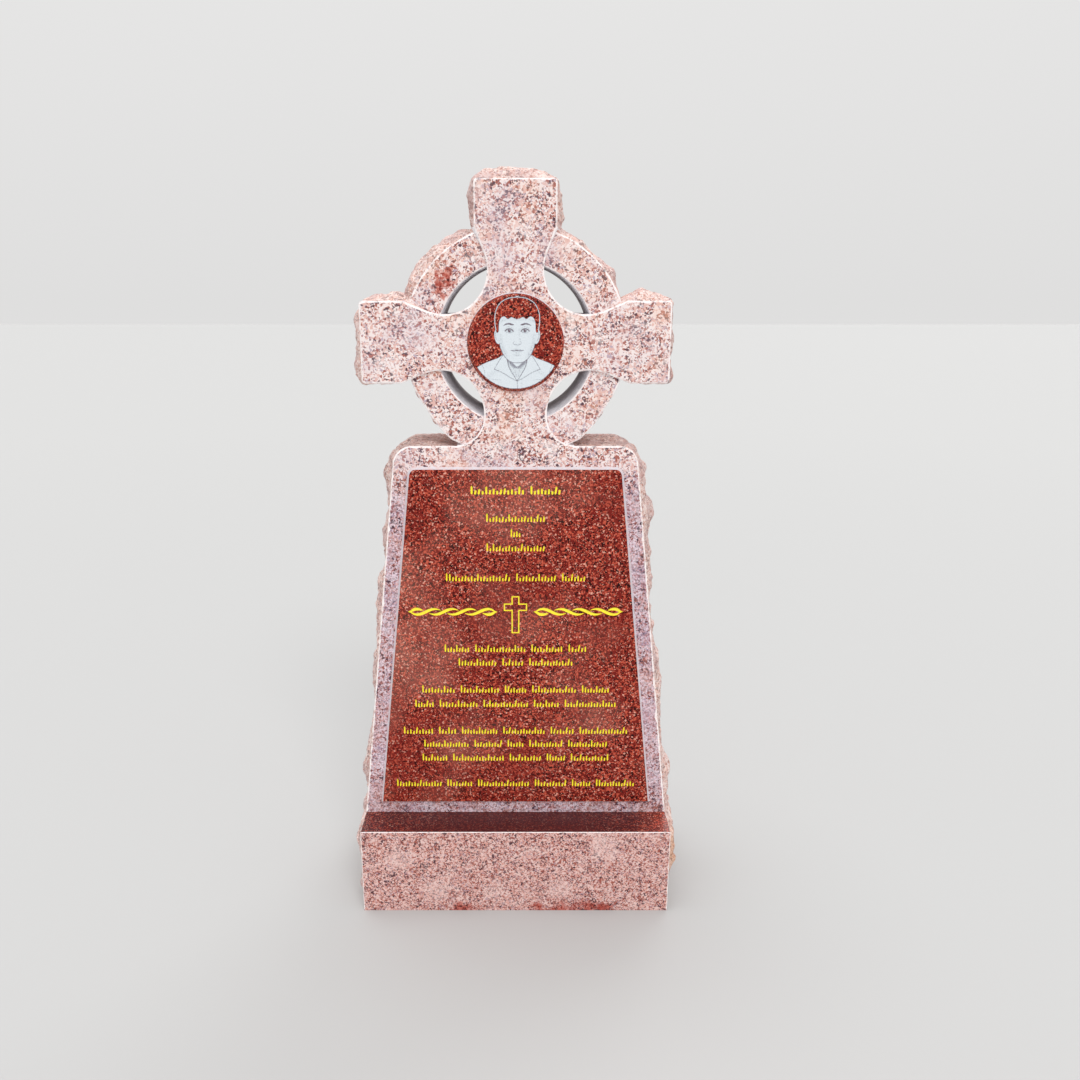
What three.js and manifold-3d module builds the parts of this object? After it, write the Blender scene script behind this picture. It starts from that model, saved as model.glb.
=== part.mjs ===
// A celtic cross headstone of pink granite on its base block, in millimetres, +Z up.
// The front looks along -Y. The origin is the middle of the base's underside.

import * as THREE from "three";
import { mergeVertices } from "three/addons/utils/BufferGeometryUtils.js";
import Module from "manifold-3d";

// Base block
const BASE_WIDTH = 600;
const BASE_DEPTH = 300;
const BASE_HEIGHT = 175;

// Upright slab: a tapering tablet that carries the cross
const SLAB_THICKNESS = 156;
const TABLET_HEIGHT = 740;
const TABLET_FOOT_WIDTH = 600;
const TABLET_HEAD_WIDTH = 438;
const SHOULDER_RADIUS = 36;

// Cross: its centre stands above the tablet's head, and its arms narrow at the round armpits
const CROSS_RISE = 182;
const SIDE_ARM_REACH = 272;
const TOP_ARM_REACH = 270;
const ARM_WIDTH = 142;
const ARM_CORNER_RADIUS = 7;
const ARMPIT_RADIUS = 75;
const ARM_FOOT_RADIUS = 54;
const UPPER_NECK_WIDTH = 98;
const SIDE_NECK_WIDTH = 96;
const LOWER_NECK_WIDTH = 112;
const FLARE_DEG = 22;

// Ring that ties the arms together, set back from the arms' faces
const RING_OUTER_RADIUS = 197;
const RING_INNER_RADIUS = 137;
const RING_SETBACK = 7;
const RING_FOOT_SPREAD = 10;
const RING_FOOT_DEG = 56;
const RING_FOOT_REACH_DEG = 20;

// Raised polished panel on the tablet
const PANEL_FOOT_MARGIN = 23;
const PANEL_HEAD_MARGIN = 38;
const PANEL_FOOT_INSET = 29.5;
const PANEL_HEAD_INSET = 28;
const PANEL_RISE = 6;
const PANEL_BEVEL = 4;
const PANEL_CORNER_RADIUS = 16;

// Raised polished disc at the cross centre
const DISC_RADIUS = 85;
const DISC_RISE = 8;
const DISC_BEVEL = 5;

// Shallow carving in the panel
const STROKE_DEPTH = 1;
const STROKE_HEIGHT = 11;
const GROUP_GAP = 9;
const GROUP_LENGTH = 75;
const GROUP_SHARES = [7, 4, 8, 5, 3, 6];
const GROUP_SHIFT = 5;
const ROPE_REACH = 202;
const ROPE_START = 34;
const ROPE_AMPLITUDE = 4.5;
const ROPE_STRAND = 5;
const SMALL_CROSS_HEIGHT = 74;
const SMALL_CROSS_SPAN = 44;
const SMALL_CROSS_WIDTH = 15;
const SMALL_CROSS_LINE = 3;

// Places of the carving, as heights above the panel's foot
const ROPE_LEVEL = 404;
const SMALL_CROSS_LEVEL = 398;

// Rows of strokes: height above the panel's foot and half length
const ROWS = [
  { level: 636, half: 83 },
  { level: 583, half: 55 },
  { level: 554, half: 10 },
  { level: 527, half: 55 },
  { level: 469, half: 131 },
  { level: 328, half: 136 },
  { level: 300, half: 110 },
  { level: 244, half: 181 },
  { level: 214, half: 195 },
  { level: 157, half: 219 },
  { level: 129, half: 180 },
  { level: 99, half: 184 },
  { level: 43, half: 236 },
];

// Rock-pitched faces. Each pair is a share of the stretch and how far the stone stands proud of its pitch line.
const ROCK = {
  right: {
    tablet: [[0, 6], [0.04, 18], [0.11, 24], [0.15, 13], [0.22, 8], [0.3, 20], [0.36, 19], [0.44, 13], [0.47, 7],
      [0.54, 13], [0.61, 20], [0.68, 20], [0.81, 24], [0.86, 10], [0.9, 2], [1, 1]],
    sideArm: [[0, 2], [0.2, 4], [0.3, 9], [0.5, 11], [0.72, 8], [0.8, 13], [0.9, 19], [1, 12]],
    topArm: [[0, 8], [0.15, 14], [0.35, 14], [0.5, 9], [0.7, 15], [1, 20]],
    base: [[0, 0], [0.25, 10], [0.5, 19], [0.7, 24], [0.88, 19], [1, 0]],
  },
  left: {
    tablet: [[0, 5], [0.05, 14], [0.09, 21], [0.14, 16], [0.21, 6], [0.27, 7], [0.33, 15], [0.4, 9], [0.5, 18],
      [0.55, 16], [0.6, 10], [0.67, 14], [0.73, 9], [0.81, 20], [0.86, 10], [0.9, 2], [1, 1]],
    sideArm: [[0, 2], [0.2, 4], [0.34, 18], [0.5, 21], [0.62, 18], [0.74, 7], [0.85, 14], [0.93, 18], [1, 12]],
    topArm: [[0, 8], [0.15, 13], [0.35, 13], [0.5, 10], [0.7, 21], [0.85, 23], [1, 20]],
    base: [[0, 0], [0.25, 10], [0.5, 18], [0.75, 20], [0.9, 15], [1, 0]],
  },
  ring: [[0, 4], [0.05, 10], [0.1, 14], [0.14, 10], [0.2, 15], [0.3, 8], [0.35, 18], [0.4, 20], [0.45, 12],
    [0.5, 5], [0.6, 5], [0.75, 3], [0.85, 5], [1, 4]],
};
const ROCK_RIPPLE = 0.2;
const ROCK_GRAIN = 17;
const ROCK_STATIONS = [0, 0.06, 0.2, 0.42, 0.68, 0.9, 1];

// Fineness of the faceted outline
const ROCK_STEP = 26;
const ARC_STEP_DEG = 9;
const ROUND_SIDES = 80;
const ROPE_TURNS = 2.5;
const ROPE_STEPS = 24;

// Worked-out places
const FRONT = -SLAB_THICKNESS / 2;
const BACK = SLAB_THICKNESS / 2;
const CROSS_CENTRE = TABLET_HEIGHT + CROSS_RISE;
const PANEL_FOOT = PANEL_FOOT_MARGIN;
const PANEL_HEAD = TABLET_HEIGHT - PANEL_HEAD_MARGIN;
const PANEL_FACE = FRONT - PANEL_RISE;
const SEAT = 3;

const wasm = await Module();
wasm.setup();

const DEG = Math.PI / 180;

// The tablet's half width at a height above its foot
function tabletHalfWidth(height) {
  const share = height / TABLET_HEIGHT;
  return (TABLET_FOOT_WIDTH * (1 - share) + TABLET_HEAD_WIDTH * share) / 2;
}

// Points of an arc about a centre, from one angle to another
function arc(x, z, radius, fromDeg, toDeg) {
  const steps = Math.max(2, Math.ceil(Math.abs(toDeg - fromDeg) / ARC_STEP_DEG));
  const points = [];
  for (let i = 0; i <= steps; i += 1) {
    const angle = (fromDeg + ((toDeg - fromDeg) * i) / steps) * DEG;
    points.push(new THREE.Vector2(x + radius * Math.cos(angle), z + radius * Math.sin(angle)));
  }
  return points;
}

// The arc that rounds the corner at b between the lines to a and c
function roundCorner(a, b, c, radius) {
  const toA = a.clone().sub(b).normalize();
  const toC = c.clone().sub(b).normalize();
  const half = Math.acos(toA.dot(toC)) / 2;
  const centre = toA.clone().add(toC).normalize().multiplyScalar(radius / Math.sin(half)).add(b);
  const start = b.clone().addScaledVector(toA, radius / Math.tan(half)).sub(centre);
  const end = b.clone().addScaledVector(toC, radius / Math.tan(half)).sub(centre);
  const from = start.angle() / DEG;
  const sweep = Math.atan2(start.cross(end), start.dot(end)) / DEG;
  return arc(centre.x, centre.y, radius, from, from + sweep);
}

// A smooth rise and fall between the listed pairs of share and height
function blend(pairs, share) {
  const next = pairs.findIndex(([at]) => at > share);
  if (next < 0) return pairs[pairs.length - 1][1];
  const [fromAt, fromValue] = pairs[next - 1];
  const [toAt, toValue] = pairs[next];
  const t = (share - fromAt) / (toAt - fromAt);
  return fromValue + (toValue - fromValue) * (1 - Math.cos(Math.PI * t)) / 2;
}

// A stretch of outline cut into short steps, with how far the rock face stands proud at each
function stretch(corners, humps) {
  const points = [corners[0]];
  corners.slice(1).forEach((corner, i) => {
    const start = corners[i];
    const steps = humps ? Math.max(1, Math.round(corner.distanceTo(start) / ROCK_STEP)) : 1;
    for (let k = 1; k <= steps; k += 1) points.push(start.clone().lerp(corner, k / steps));
  });
  const along = [0];
  points.slice(1).forEach((point, i) => along.push(along[i] + point.distanceTo(points[i])));
  const length = along[along.length - 1];
  return points.map((point, i) => ({ point, proud: humps ? blend(humps, along[i] / length) : 0 }));
}

// One half of the slab's outline, from the foot of the tablet to the middle of the top arm
function slabHalf(rock) {
  const v = (x, z) => new THREE.Vector2(x, z);
  const armHalf = ARM_WIDTH / 2;
  const rise = Math.tan(FLARE_DEG * DEG);

  const lowerX = LOWER_NECK_WIDTH / 2 + ARMPIT_RADIUS;
  const lowerZ = CROSS_CENTRE - SIDE_NECK_WIDTH / 2 - ARMPIT_RADIUS;
  const upperX = UPPER_NECK_WIDTH / 2 + ARMPIT_RADIUS;
  const upperZ = CROSS_CENTRE + SIDE_NECK_WIDTH / 2 + ARMPIT_RADIUS;

  // Where the flare leaves an armpit, and where it meets the straight side of an arm
  const flareOut = ARMPIT_RADIUS * Math.sin(FLARE_DEG * DEG);
  const flareDrop = ARMPIT_RADIUS * (1 - Math.cos(FLARE_DEG * DEG));
  const sideRun = flareOut + (armHalf - SIDE_NECK_WIDTH / 2 - flareDrop) / rise;
  const topRun = flareOut + (armHalf - UPPER_NECK_WIDTH / 2 - flareDrop) / rise;

  const footRadius = Math.min(ARM_FOOT_RADIUS, lowerZ - TABLET_HEIGHT);
  const footArc = arc(LOWER_NECK_WIDTH / 2 + footRadius, TABLET_HEIGHT + footRadius, footRadius, 270, 180);
  const lowerArc = arc(lowerX, lowerZ, ARMPIT_RADIUS, 180, 90 - FLARE_DEG);
  const upperArc = arc(upperX, upperZ, ARMPIT_RADIUS, 270 + FLARE_DEG, 180 - FLARE_DEG);

  const foot = v(TABLET_FOOT_WIDTH / 2, 0);
  const shoulder = v(TABLET_HEAD_WIDTH / 2, TABLET_HEIGHT);
  const tablet = [foot, ...roundCorner(foot, shoulder, footArc[0], SHOULDER_RADIUS), footArc[0]];

  const under = v(lowerX + sideRun, CROSS_CENTRE - armHalf);
  const over = v(upperX + sideRun, CROSS_CENTRE + armHalf);
  const endLow = v(SIDE_ARM_REACH, CROSS_CENTRE - armHalf);
  const endHigh = v(SIDE_ARM_REACH, CROSS_CENTRE + armHalf);
  const sideArm = [
    under,
    ...roundCorner(under, endLow, endHigh, ARM_CORNER_RADIUS),
    ...roundCorner(endLow, endHigh, over, ARM_CORNER_RADIUS),
    over,
  ];

  const side = v(armHalf, upperZ + topRun);
  const corner = v(armHalf, CROSS_CENTRE + TOP_ARM_REACH);
  const crown = v(0, CROSS_CENTRE + TOP_ARM_REACH);
  const topArm = [side, ...roundCorner(side, corner, crown, ARM_CORNER_RADIUS), crown];

  return [
    ...stretch(tablet, rock.tablet),
    ...stretch([...footArc.slice(1), ...lowerArc]),
    ...stretch(sideArm, rock.sideArm),
    ...stretch(upperArc),
    ...stretch(topArm, rock.topArm),
  ];
}

// The mirror image of a half outline, run the other way, so that both halves close into one loop
function mirrored(half) {
  return half
    .map(({ point, proud }) => ({ point: new THREE.Vector2(-point.x, point.y), proud }))
    .reverse();
}

// An unevenness that runs over the rock face in waves, by the distance along the outline and the depth
function ripple(along, depth) {
  return 1 + ROCK_RIPPLE * (Math.sin((along + depth) / ROCK_GRAIN) + Math.sin((along - 2 * depth) / (2 * ROCK_GRAIN)));
}

// A solid between a front and a back outline whose side wall swells out as pitched rock
function rockSolid(outline, front, back) {
  const count = outline.length;
  const contour = outline.map(({ point }) => point);
  const depth = back - front;
  const positions = [];
  let travelled = 0;
  outline.forEach(({ point, proud }, i) => {
    const before = contour[(i + count - 1) % count];
    const after = contour[(i + 1) % count];
    const along = after.clone().sub(before).normalize();
    travelled += i ? point.distanceTo(before) : 0;
    for (const share of ROCK_STATIONS) {
      const swell = proud * Math.sqrt(Math.sin(Math.PI * share)) * ripple(travelled, depth * share);
      const offset = share === 0 || share === 1 ? 0 : swell;
      const z = Math.max(0, point.y - along.x * offset);
      positions.push(point.x + along.y * offset, front + depth * share, z);
    }
  });

  const rows = ROCK_STATIONS.length;
  const at = (i, j) => (i % count) * rows + j;
  const index = [];
  for (const [a, b, c] of THREE.ShapeUtils.triangulateShape(contour, [])) {
    index.push(at(a, 0), at(b, 0), at(c, 0));
    index.push(at(a, rows - 1), at(c, rows - 1), at(b, rows - 1));
  }
  for (let i = 0; i < count; i += 1) {
    for (let j = 0; j + 1 < rows; j += 1) {
      index.push(at(i, j), at(i, j + 1), at(i + 1, j + 1));
      index.push(at(i, j), at(i + 1, j + 1), at(i + 1, j));
    }
  }
  const geometry = new THREE.BufferGeometry();
  geometry.setAttribute("position", new THREE.Float32BufferAttribute(positions, 3));
  geometry.setIndex(index);
  return toSolid(geometry);
}

// A closed geometry as a solid that can be joined and cut
function toSolid(geometry) {
  geometry.deleteAttribute("normal");
  geometry.deleteAttribute("uv");
  const merged = mergeVertices(geometry, 1e-4);
  const vertProperties = new Float32Array(merged.attributes.position.array);
  const triVerts = new Uint32Array(merged.index.array);
  return new wasm.Manifold(new wasm.Mesh({ numProp: 3, vertProperties, triVerts }));
}

// A solid as a named mesh with its own finish
function toMesh(name, solid, material) {
  const { vertProperties, triVerts, numProp } = solid.getMesh();
  const positions = [];
  for (let i = 0; i < vertProperties.length; i += numProp) {
    positions.push(vertProperties[i], vertProperties[i + 1], vertProperties[i + 2]);
  }
  const geometry = new THREE.BufferGeometry();
  geometry.setAttribute("position", new THREE.Float32BufferAttribute(positions, 3));
  geometry.setIndex(Array.from(triVerts));
  geometry.computeVertexNormals();
  const mesh = new THREE.Mesh(geometry, material);
  mesh.name = name;
  return mesh;
}

// A straight prism between two depths, from an outline drawn in x and z
function prism(points, front, back, holes = []) {
  const shape = new THREE.Shape(points);
  shape.holes = holes.map((hole) => new THREE.Path(hole));
  const geometry = new THREE.ExtrudeGeometry(shape, { depth: back - front, bevelEnabled: false });
  geometry.rotateX(Math.PI / 2);
  geometry.translate(0, back, 0);
  return toSolid(geometry);
}

// A raised plate: its edge slopes from the wide outline at the stone's face to the narrow one on top
function raisedPlate(wide, narrow, face) {
  const count = wide.length;
  const seat = FRONT + SEAT;
  const positions = [];
  wide.forEach((point, i) => {
    positions.push(narrow[i].x, face, narrow[i].y, point.x, FRONT, point.y, point.x, seat, point.y);
  });
  const index = [];
  for (const [a, b, c] of THREE.ShapeUtils.triangulateShape(wide, [])) {
    index.push(3 * a, 3 * b, 3 * c, 3 * a + 2, 3 * c + 2, 3 * b + 2);
  }
  for (let i = 0; i < count; i += 1) {
    const next = (i + 1) % count;
    for (let j = 0; j < 2; j += 1) {
      index.push(3 * i + j, 3 * i + j + 1, 3 * next + j + 1, 3 * i + j, 3 * next + j + 1, 3 * next + j);
    }
  }
  const geometry = new THREE.BufferGeometry();
  geometry.setAttribute("position", new THREE.Float32BufferAttribute(positions, 3));
  geometry.setIndex(index);
  return toSolid(geometry);
}

// The panel's outline, drawn in from its edge by a margin
function panelOutline(margin) {
  const v = (x, z) => new THREE.Vector2(x, z);
  const footHalf = tabletHalfWidth(PANEL_FOOT) - PANEL_FOOT_INSET - margin;
  const headHalf = tabletHalfWidth(PANEL_HEAD) - PANEL_HEAD_INSET - margin;
  const low = PANEL_FOOT + margin;
  const high = PANEL_HEAD - margin;
  const radius = PANEL_CORNER_RADIUS - margin;
  const [footRight, headRight] = [v(footHalf, low), v(headHalf, high)];
  const [headLeft, footLeft] = [v(-headHalf, high), v(-footHalf, low)];
  return [
    footLeft,
    footRight,
    ...roundCorner(footRight, headRight, headLeft, radius),
    ...roundCorner(headRight, headLeft, footLeft, radius),
  ];
}

// A circle about the cross centre, which may swell with the angle
function circle(radius, swell = () => 0) {
  const points = [];
  for (let i = 0; i < ROUND_SIDES; i += 1) {
    const angle = (2 * Math.PI * i) / ROUND_SIDES;
    const reach = radius + swell(angle / DEG);
    points.push(new THREE.Vector2(reach * Math.cos(angle), CROSS_CENTRE + reach * Math.sin(angle)));
  }
  return points;
}

// How far the ring spreads where it comes down on the tablet's shoulders, by the angle around the ring
function ringSpread(deg) {
  const fromFoot = Math.min(Math.abs(deg - 360 + RING_FOOT_DEG), Math.abs(deg - 180 - RING_FOOT_DEG));
  return RING_FOOT_SPREAD * Math.max(0, 1 - fromFoot / RING_FOOT_REACH_DEG);
}

// A prism that sinks the shallow carving into the panel's face
function groove(points, holes) {
  return prism(points, PANEL_FACE - SEAT, PANEL_FACE + STROKE_DEPTH, holes);
}

// How a row falls into groups: as many as fit, their shares taken in turn from one set
function groupsOf(half, row) {
  const count = Math.max(1, Math.round(2 * half / GROUP_LENGTH));
  return Array.from({ length: count }, (_, i) => GROUP_SHARES[(row * GROUP_SHIFT + i) % GROUP_SHARES.length]);
}

// The rows of plain strokes that stand where an inscription is
function inscription() {
  const grooves = [];
  for (const [row, { level, half }] of ROWS.entries()) {
    const groups = groupsOf(half, row);
    const units = groups.reduce((sum, size) => sum + size, 0);
    const unit = (2 * half - GROUP_GAP * (groups.length - 1)) / units;
    const low = PANEL_FOOT + level - STROKE_HEIGHT / 2;
    const high = low + STROKE_HEIGHT;
    let x = -half;
    for (const size of groups) {
      const end = x + size * unit;
      grooves.push(groove([
        new THREE.Vector2(x, low),
        new THREE.Vector2(end, low),
        new THREE.Vector2(end, high),
        new THREE.Vector2(x, high),
      ]));
      x = end + GROUP_GAP;
    }
  }
  return grooves;
}

// Two crossing strands that make one length of rope, from near the small cross out to one side
function rope(side) {
  const level = PANEL_FOOT + ROPE_LEVEL;
  return [-1, 1].map((phase) => {
    const upper = [];
    const lower = [];
    for (let i = 0; i <= ROPE_STEPS; i += 1) {
      const share = i / ROPE_STEPS;
      const x = ROPE_START + (ROPE_REACH - ROPE_START) * share;
      const wave = phase * ROPE_AMPLITUDE * Math.sin(Math.PI * 2 * ROPE_TURNS * share);
      const taper = ROPE_STRAND * (0.3 + 0.7 * Math.sqrt(Math.sin(Math.PI * share))) / 2;
      upper.push(new THREE.Vector2(side * x, level + wave + taper));
      lower.unshift(new THREE.Vector2(side * x, level + wave - taper));
    }
    return groove([...upper, ...lower]);
  });
}

// The outline of a small upright cross, drawn in by a margin
function smallCross(margin) {
  const half = SMALL_CROSS_WIDTH / 2 - margin;
  const span = SMALL_CROSS_SPAN / 2 - margin;
  const low = PANEL_FOOT + SMALL_CROSS_LEVEL - SMALL_CROSS_HEIGHT / 2 + margin;
  const high = low + SMALL_CROSS_HEIGHT - 2 * margin;
  const bar = high + margin - SMALL_CROSS_SPAN / 2;
  const outline = [
    [half, low], [half, bar - half], [span, bar - half], [span, bar + half], [half, bar + half], [half, high],
    [-half, high], [-half, bar + half], [-span, bar + half], [-span, bar - half], [-half, bar - half], [-half, low],
  ];
  return outline.map(([x, z]) => new THREE.Vector2(x, z));
}

// The upright: slab, ring, panel and disc are carved from one stone
function headstone() {
  const outline = [...slabHalf(ROCK.right), ...mirrored(slabHalf(ROCK.left)).slice(1)];
  const slab = rockSolid(outline, FRONT, BACK);

  const ringPoints = circle(RING_OUTER_RADIUS, ringSpread);
  const ringOutline = ringPoints.map((point, i) => ({ point, proud: blend(ROCK.ring, i / ROUND_SIDES) }));
  const ringDisc = rockSolid(ringOutline, FRONT + RING_SETBACK, BACK - RING_SETBACK);
  const ring = ringDisc.subtract(prism(circle(RING_INNER_RADIUS), FRONT, BACK));

  const panel = raisedPlate(panelOutline(0), panelOutline(PANEL_BEVEL), PANEL_FACE);
  const disc = raisedPlate(circle(DISC_RADIUS), circle(DISC_RADIUS - DISC_BEVEL), FRONT - DISC_RISE);

  let stone = slab.add(ring).add(panel).add(disc);
  const carving = [...inscription(), ...rope(-1), ...rope(1), groove(smallCross(0), [smallCross(SMALL_CROSS_LINE)])];
  for (const cut of carving) stone = stone.subtract(cut);
  return stone.translate([0, 0, BASE_HEIGHT]);
}

// The base block: sawn top and bottom, dressed front and back, and pitched rock at both ends
function base() {
  const half = (rock) => stretch([
    new THREE.Vector2(BASE_WIDTH / 2, 0),
    new THREE.Vector2(BASE_WIDTH / 2, BASE_HEIGHT),
  ], rock.base);
  const outline = [...half(ROCK.right), ...mirrored(half(ROCK.left))];
  return rockSolid(outline, -BASE_DEPTH / 2, BASE_DEPTH / 2);
}

const dressedGranite = new THREE.MeshStandardMaterial({ color: 0xd3a9a2, roughness: 0.85, metalness: 0 });
const baseGranite = new THREE.MeshStandardMaterial({ color: 0xcfa29a, roughness: 0.85, metalness: 0 });

const part = new THREE.Group();
part.add(toMesh("headstone", headstone(), dressedGranite));
part.add(toMesh("base", base(), baseGranite));

export default part;
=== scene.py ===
"""A ringed cross headstone of pink granite on its base block, with fine stone faces on the fixed frame."""

import math

import bmesh
import bpy
import numpy as np
from bpy.props import FloatProperty, FloatVectorProperty, PointerProperty
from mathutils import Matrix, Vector, noise
from mathutils.geometry import delaunay_2d_cdt


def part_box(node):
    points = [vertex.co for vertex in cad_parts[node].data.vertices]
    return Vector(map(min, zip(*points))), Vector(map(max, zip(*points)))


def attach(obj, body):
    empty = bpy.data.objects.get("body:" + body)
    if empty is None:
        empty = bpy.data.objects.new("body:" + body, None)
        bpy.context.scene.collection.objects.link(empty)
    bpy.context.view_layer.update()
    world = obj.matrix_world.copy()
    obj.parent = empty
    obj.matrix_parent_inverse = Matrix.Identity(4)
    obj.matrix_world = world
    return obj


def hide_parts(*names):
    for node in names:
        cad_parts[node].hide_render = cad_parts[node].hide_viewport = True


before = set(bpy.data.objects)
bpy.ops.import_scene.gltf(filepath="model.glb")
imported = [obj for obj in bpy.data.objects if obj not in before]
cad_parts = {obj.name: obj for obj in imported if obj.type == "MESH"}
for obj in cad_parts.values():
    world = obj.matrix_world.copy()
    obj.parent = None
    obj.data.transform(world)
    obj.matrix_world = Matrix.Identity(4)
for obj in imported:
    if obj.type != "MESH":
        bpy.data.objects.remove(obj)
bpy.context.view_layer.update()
BASE_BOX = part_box("base")
UPRIGHT_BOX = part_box("headstone")

bl_info = {
    "name": "Celtic cross headstone",
    "version": (1, 0, 0),
    "blender": (4, 5, 0),
    "location": "3D View > Sidebar > Headstone",
    "description": "Builds a ringed cross headstone of pink granite on its base block",
    "category": "Add Mesh",
}

MM = 0.001

# Rock-pitched faces: shares of a stretch, and how many mm the stone stands proud of its pitch line there
ROCK = {
    "right": {
        "tablet": ((0, 0), (0.04, 18), (0.11, 24), (0.15, 13), (0.22, 8), (0.3, 20), (0.36, 19), (0.44, 13),
                   (0.47, 7), (0.54, 13), (0.61, 20), (0.68, 20), (0.81, 24), (0.86, 10), (0.9, 2), (1, 1)),
        "side_arm": ((0, 2), (0.2, 4), (0.3, 9), (0.5, 11), (0.72, 8), (0.8, 13), (0.9, 19), (1, 12)),
        "top_arm": ((0, 8), (0.15, 14), (0.35, 14), (0.5, 9), (0.7, 22), (1, 27)),
        "base": ((0, 0), (0.25, 10), (0.5, 19), (0.7, 24), (0.88, 19), (1, 0)),
    },
    "left": {
        "tablet": ((0, 0), (0.05, 14), (0.09, 21), (0.14, 16), (0.21, 6), (0.27, 7), (0.33, 15),
                   (0.4, 9), (0.5, 18), (0.55, 16), (0.6, 10), (0.67, 14), (0.73, 9), (0.81, 20),
                   (0.86, 10), (0.9, 2), (1, 1)),
        "side_arm": ((0, 2), (0.2, 4), (0.34, 18), (0.5, 21), (0.62, 18), (0.74, 7), (0.85, 14), (0.93, 18),
                     (1, 12)),
        "top_arm": ((0, 8), (0.15, 13), (0.35, 13), (0.5, 10), (0.7, 28), (0.85, 30), (1, 27)),
        "base": ((0, 0), (0.25, 10), (0.5, 18), (0.75, 20), (0.9, 15), (1, 0)),
    },
    "ring": ((0, 4), (0.05, 10), (0.1, 14), (0.14, 10), (0.2, 15), (0.3, 8), (0.35, 18), (0.4, 20),
             (0.45, 12), (0.5, 5), (0.6, 5), (0.75, 3), (0.85, 5), (1, 4)),
}

# The broken face: depth and size in mm of its scoops and of its chips, and the level they are counted from
SCOOPS = ((9, 47), (3.6, 17))
CHIPS = ((3.2, 30), (1.7, 15))
BREAK_LEVEL = 4.4 * MM
GRIT_DEPTH = 1.0 * MM
GRIT_SIZE = 5 * MM
EDGE_REACH = 9 * MM
FULL_RELIEF = 16 * MM

# The arris: its drop as a share of its width, and the sizes of its unevenness and of the flakes gone from it
ARRIS_DROP = 0.45
ARRIS_WAVE = 8 * MM
FLAKE_SIZE = 24 * MM

# Rows of strokes: height in mm above the panel's foot, and half length in mm
ROWS = (
    (636, 83), (583, 55), (554, 10), (527, 55), (469, 131), (328, 136), (300, 110),
    (244, 181), (214, 195), (157, 219), (129, 180), (99, 184), (43, 236),
)

# A row falls into groups of about this many mm, their shares taken in turn, and the strokes in them vary
GROUP_LENGTH = 75
GROUP_GAP = 9 * MM
GROUP_SHARES = (7, 4, 8, 5, 3, 6)
GROUP_SHIFT = 5
STROKE_PITCH = 5.7 * MM
TOP_ROW_PITCH = 6.5 * MM
TOP_ROW_WEIGHT = 1.3
FIRST_STROKE = 1.3
STROKE_HEIGHTS = (0.95, 0.68, 0.84, 0.55, 1.2, 0.72, 0.9, 0.6, 0.8)
STROKE_LEANS = (0, 7, 0, 10, 3, 0, 8)

# How far cutting solids stand clear of the face that they cut
CLEAR = 0.6 * MM

# The disc's picture: a plain head and shoulders, in mm from a line a little right of the disc's middle.
# Each part has how white it is etched (0 is polished stone), how soft its edge is, its width if it is a
# line, and its points.
HEAD_SHIFT = 3.0
NECK = (
    ("fill", 0.88, 1.0, ((3, -20), (-15, -20), (-16, -32), (-20, -42), (-9, -60), (3, -71))),
    ("fill", 0.60, 5.0, ((6, -33), (-9, -31), (-15, -25), (-16, -33), (-9, -40), (6, -43))),
    ("line", 0.74, 1.4, 1.2, ((-4, -46), (-1.6, -58))),
)
SHIRT = (
    ("fill", 1.0, 1.0, ((2, -66), (-8, -54), (-16, -40), (-18, -28), (-25, -21), (-34, -26), (-54, -33.5),
                        (-74, -44), (-92, -58), (-92, -96), (2, -96))),
    ("fill", 0.86, 6.0, ((-30, -44), (-44, -50), (-60, -62), (-46, -58))),
    ("line", 0.50, 0.9, 1.2, ((-17.5, -28.5), (-14.5, -41), (-7.5, -54), (0, -65))),
    ("line", 0.56, 0.9, 1.1, ((-25, -21), (-33, -33), (-40, -45))),
    ("line", 0.50, 0.9, 1.1, ((-40, -45), (-26, -51), (-13, -59), (0, -66))),
    ("line", 0.66, 0.9, 1.0, ((-61, -38), (-57, -50), (-59, -64))),
    ("line", 0.66, 0.9, 1.0, ((-50, -62), (-28, -64))),
)
PLACKET = (
    ("line", 0.52, 0.9, 1.1, ((0, -65), (1.2, -84))),
    ("line", 0.74, 0.9, 0.9, ((8, -62), (8.6, -84))),
)
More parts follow.
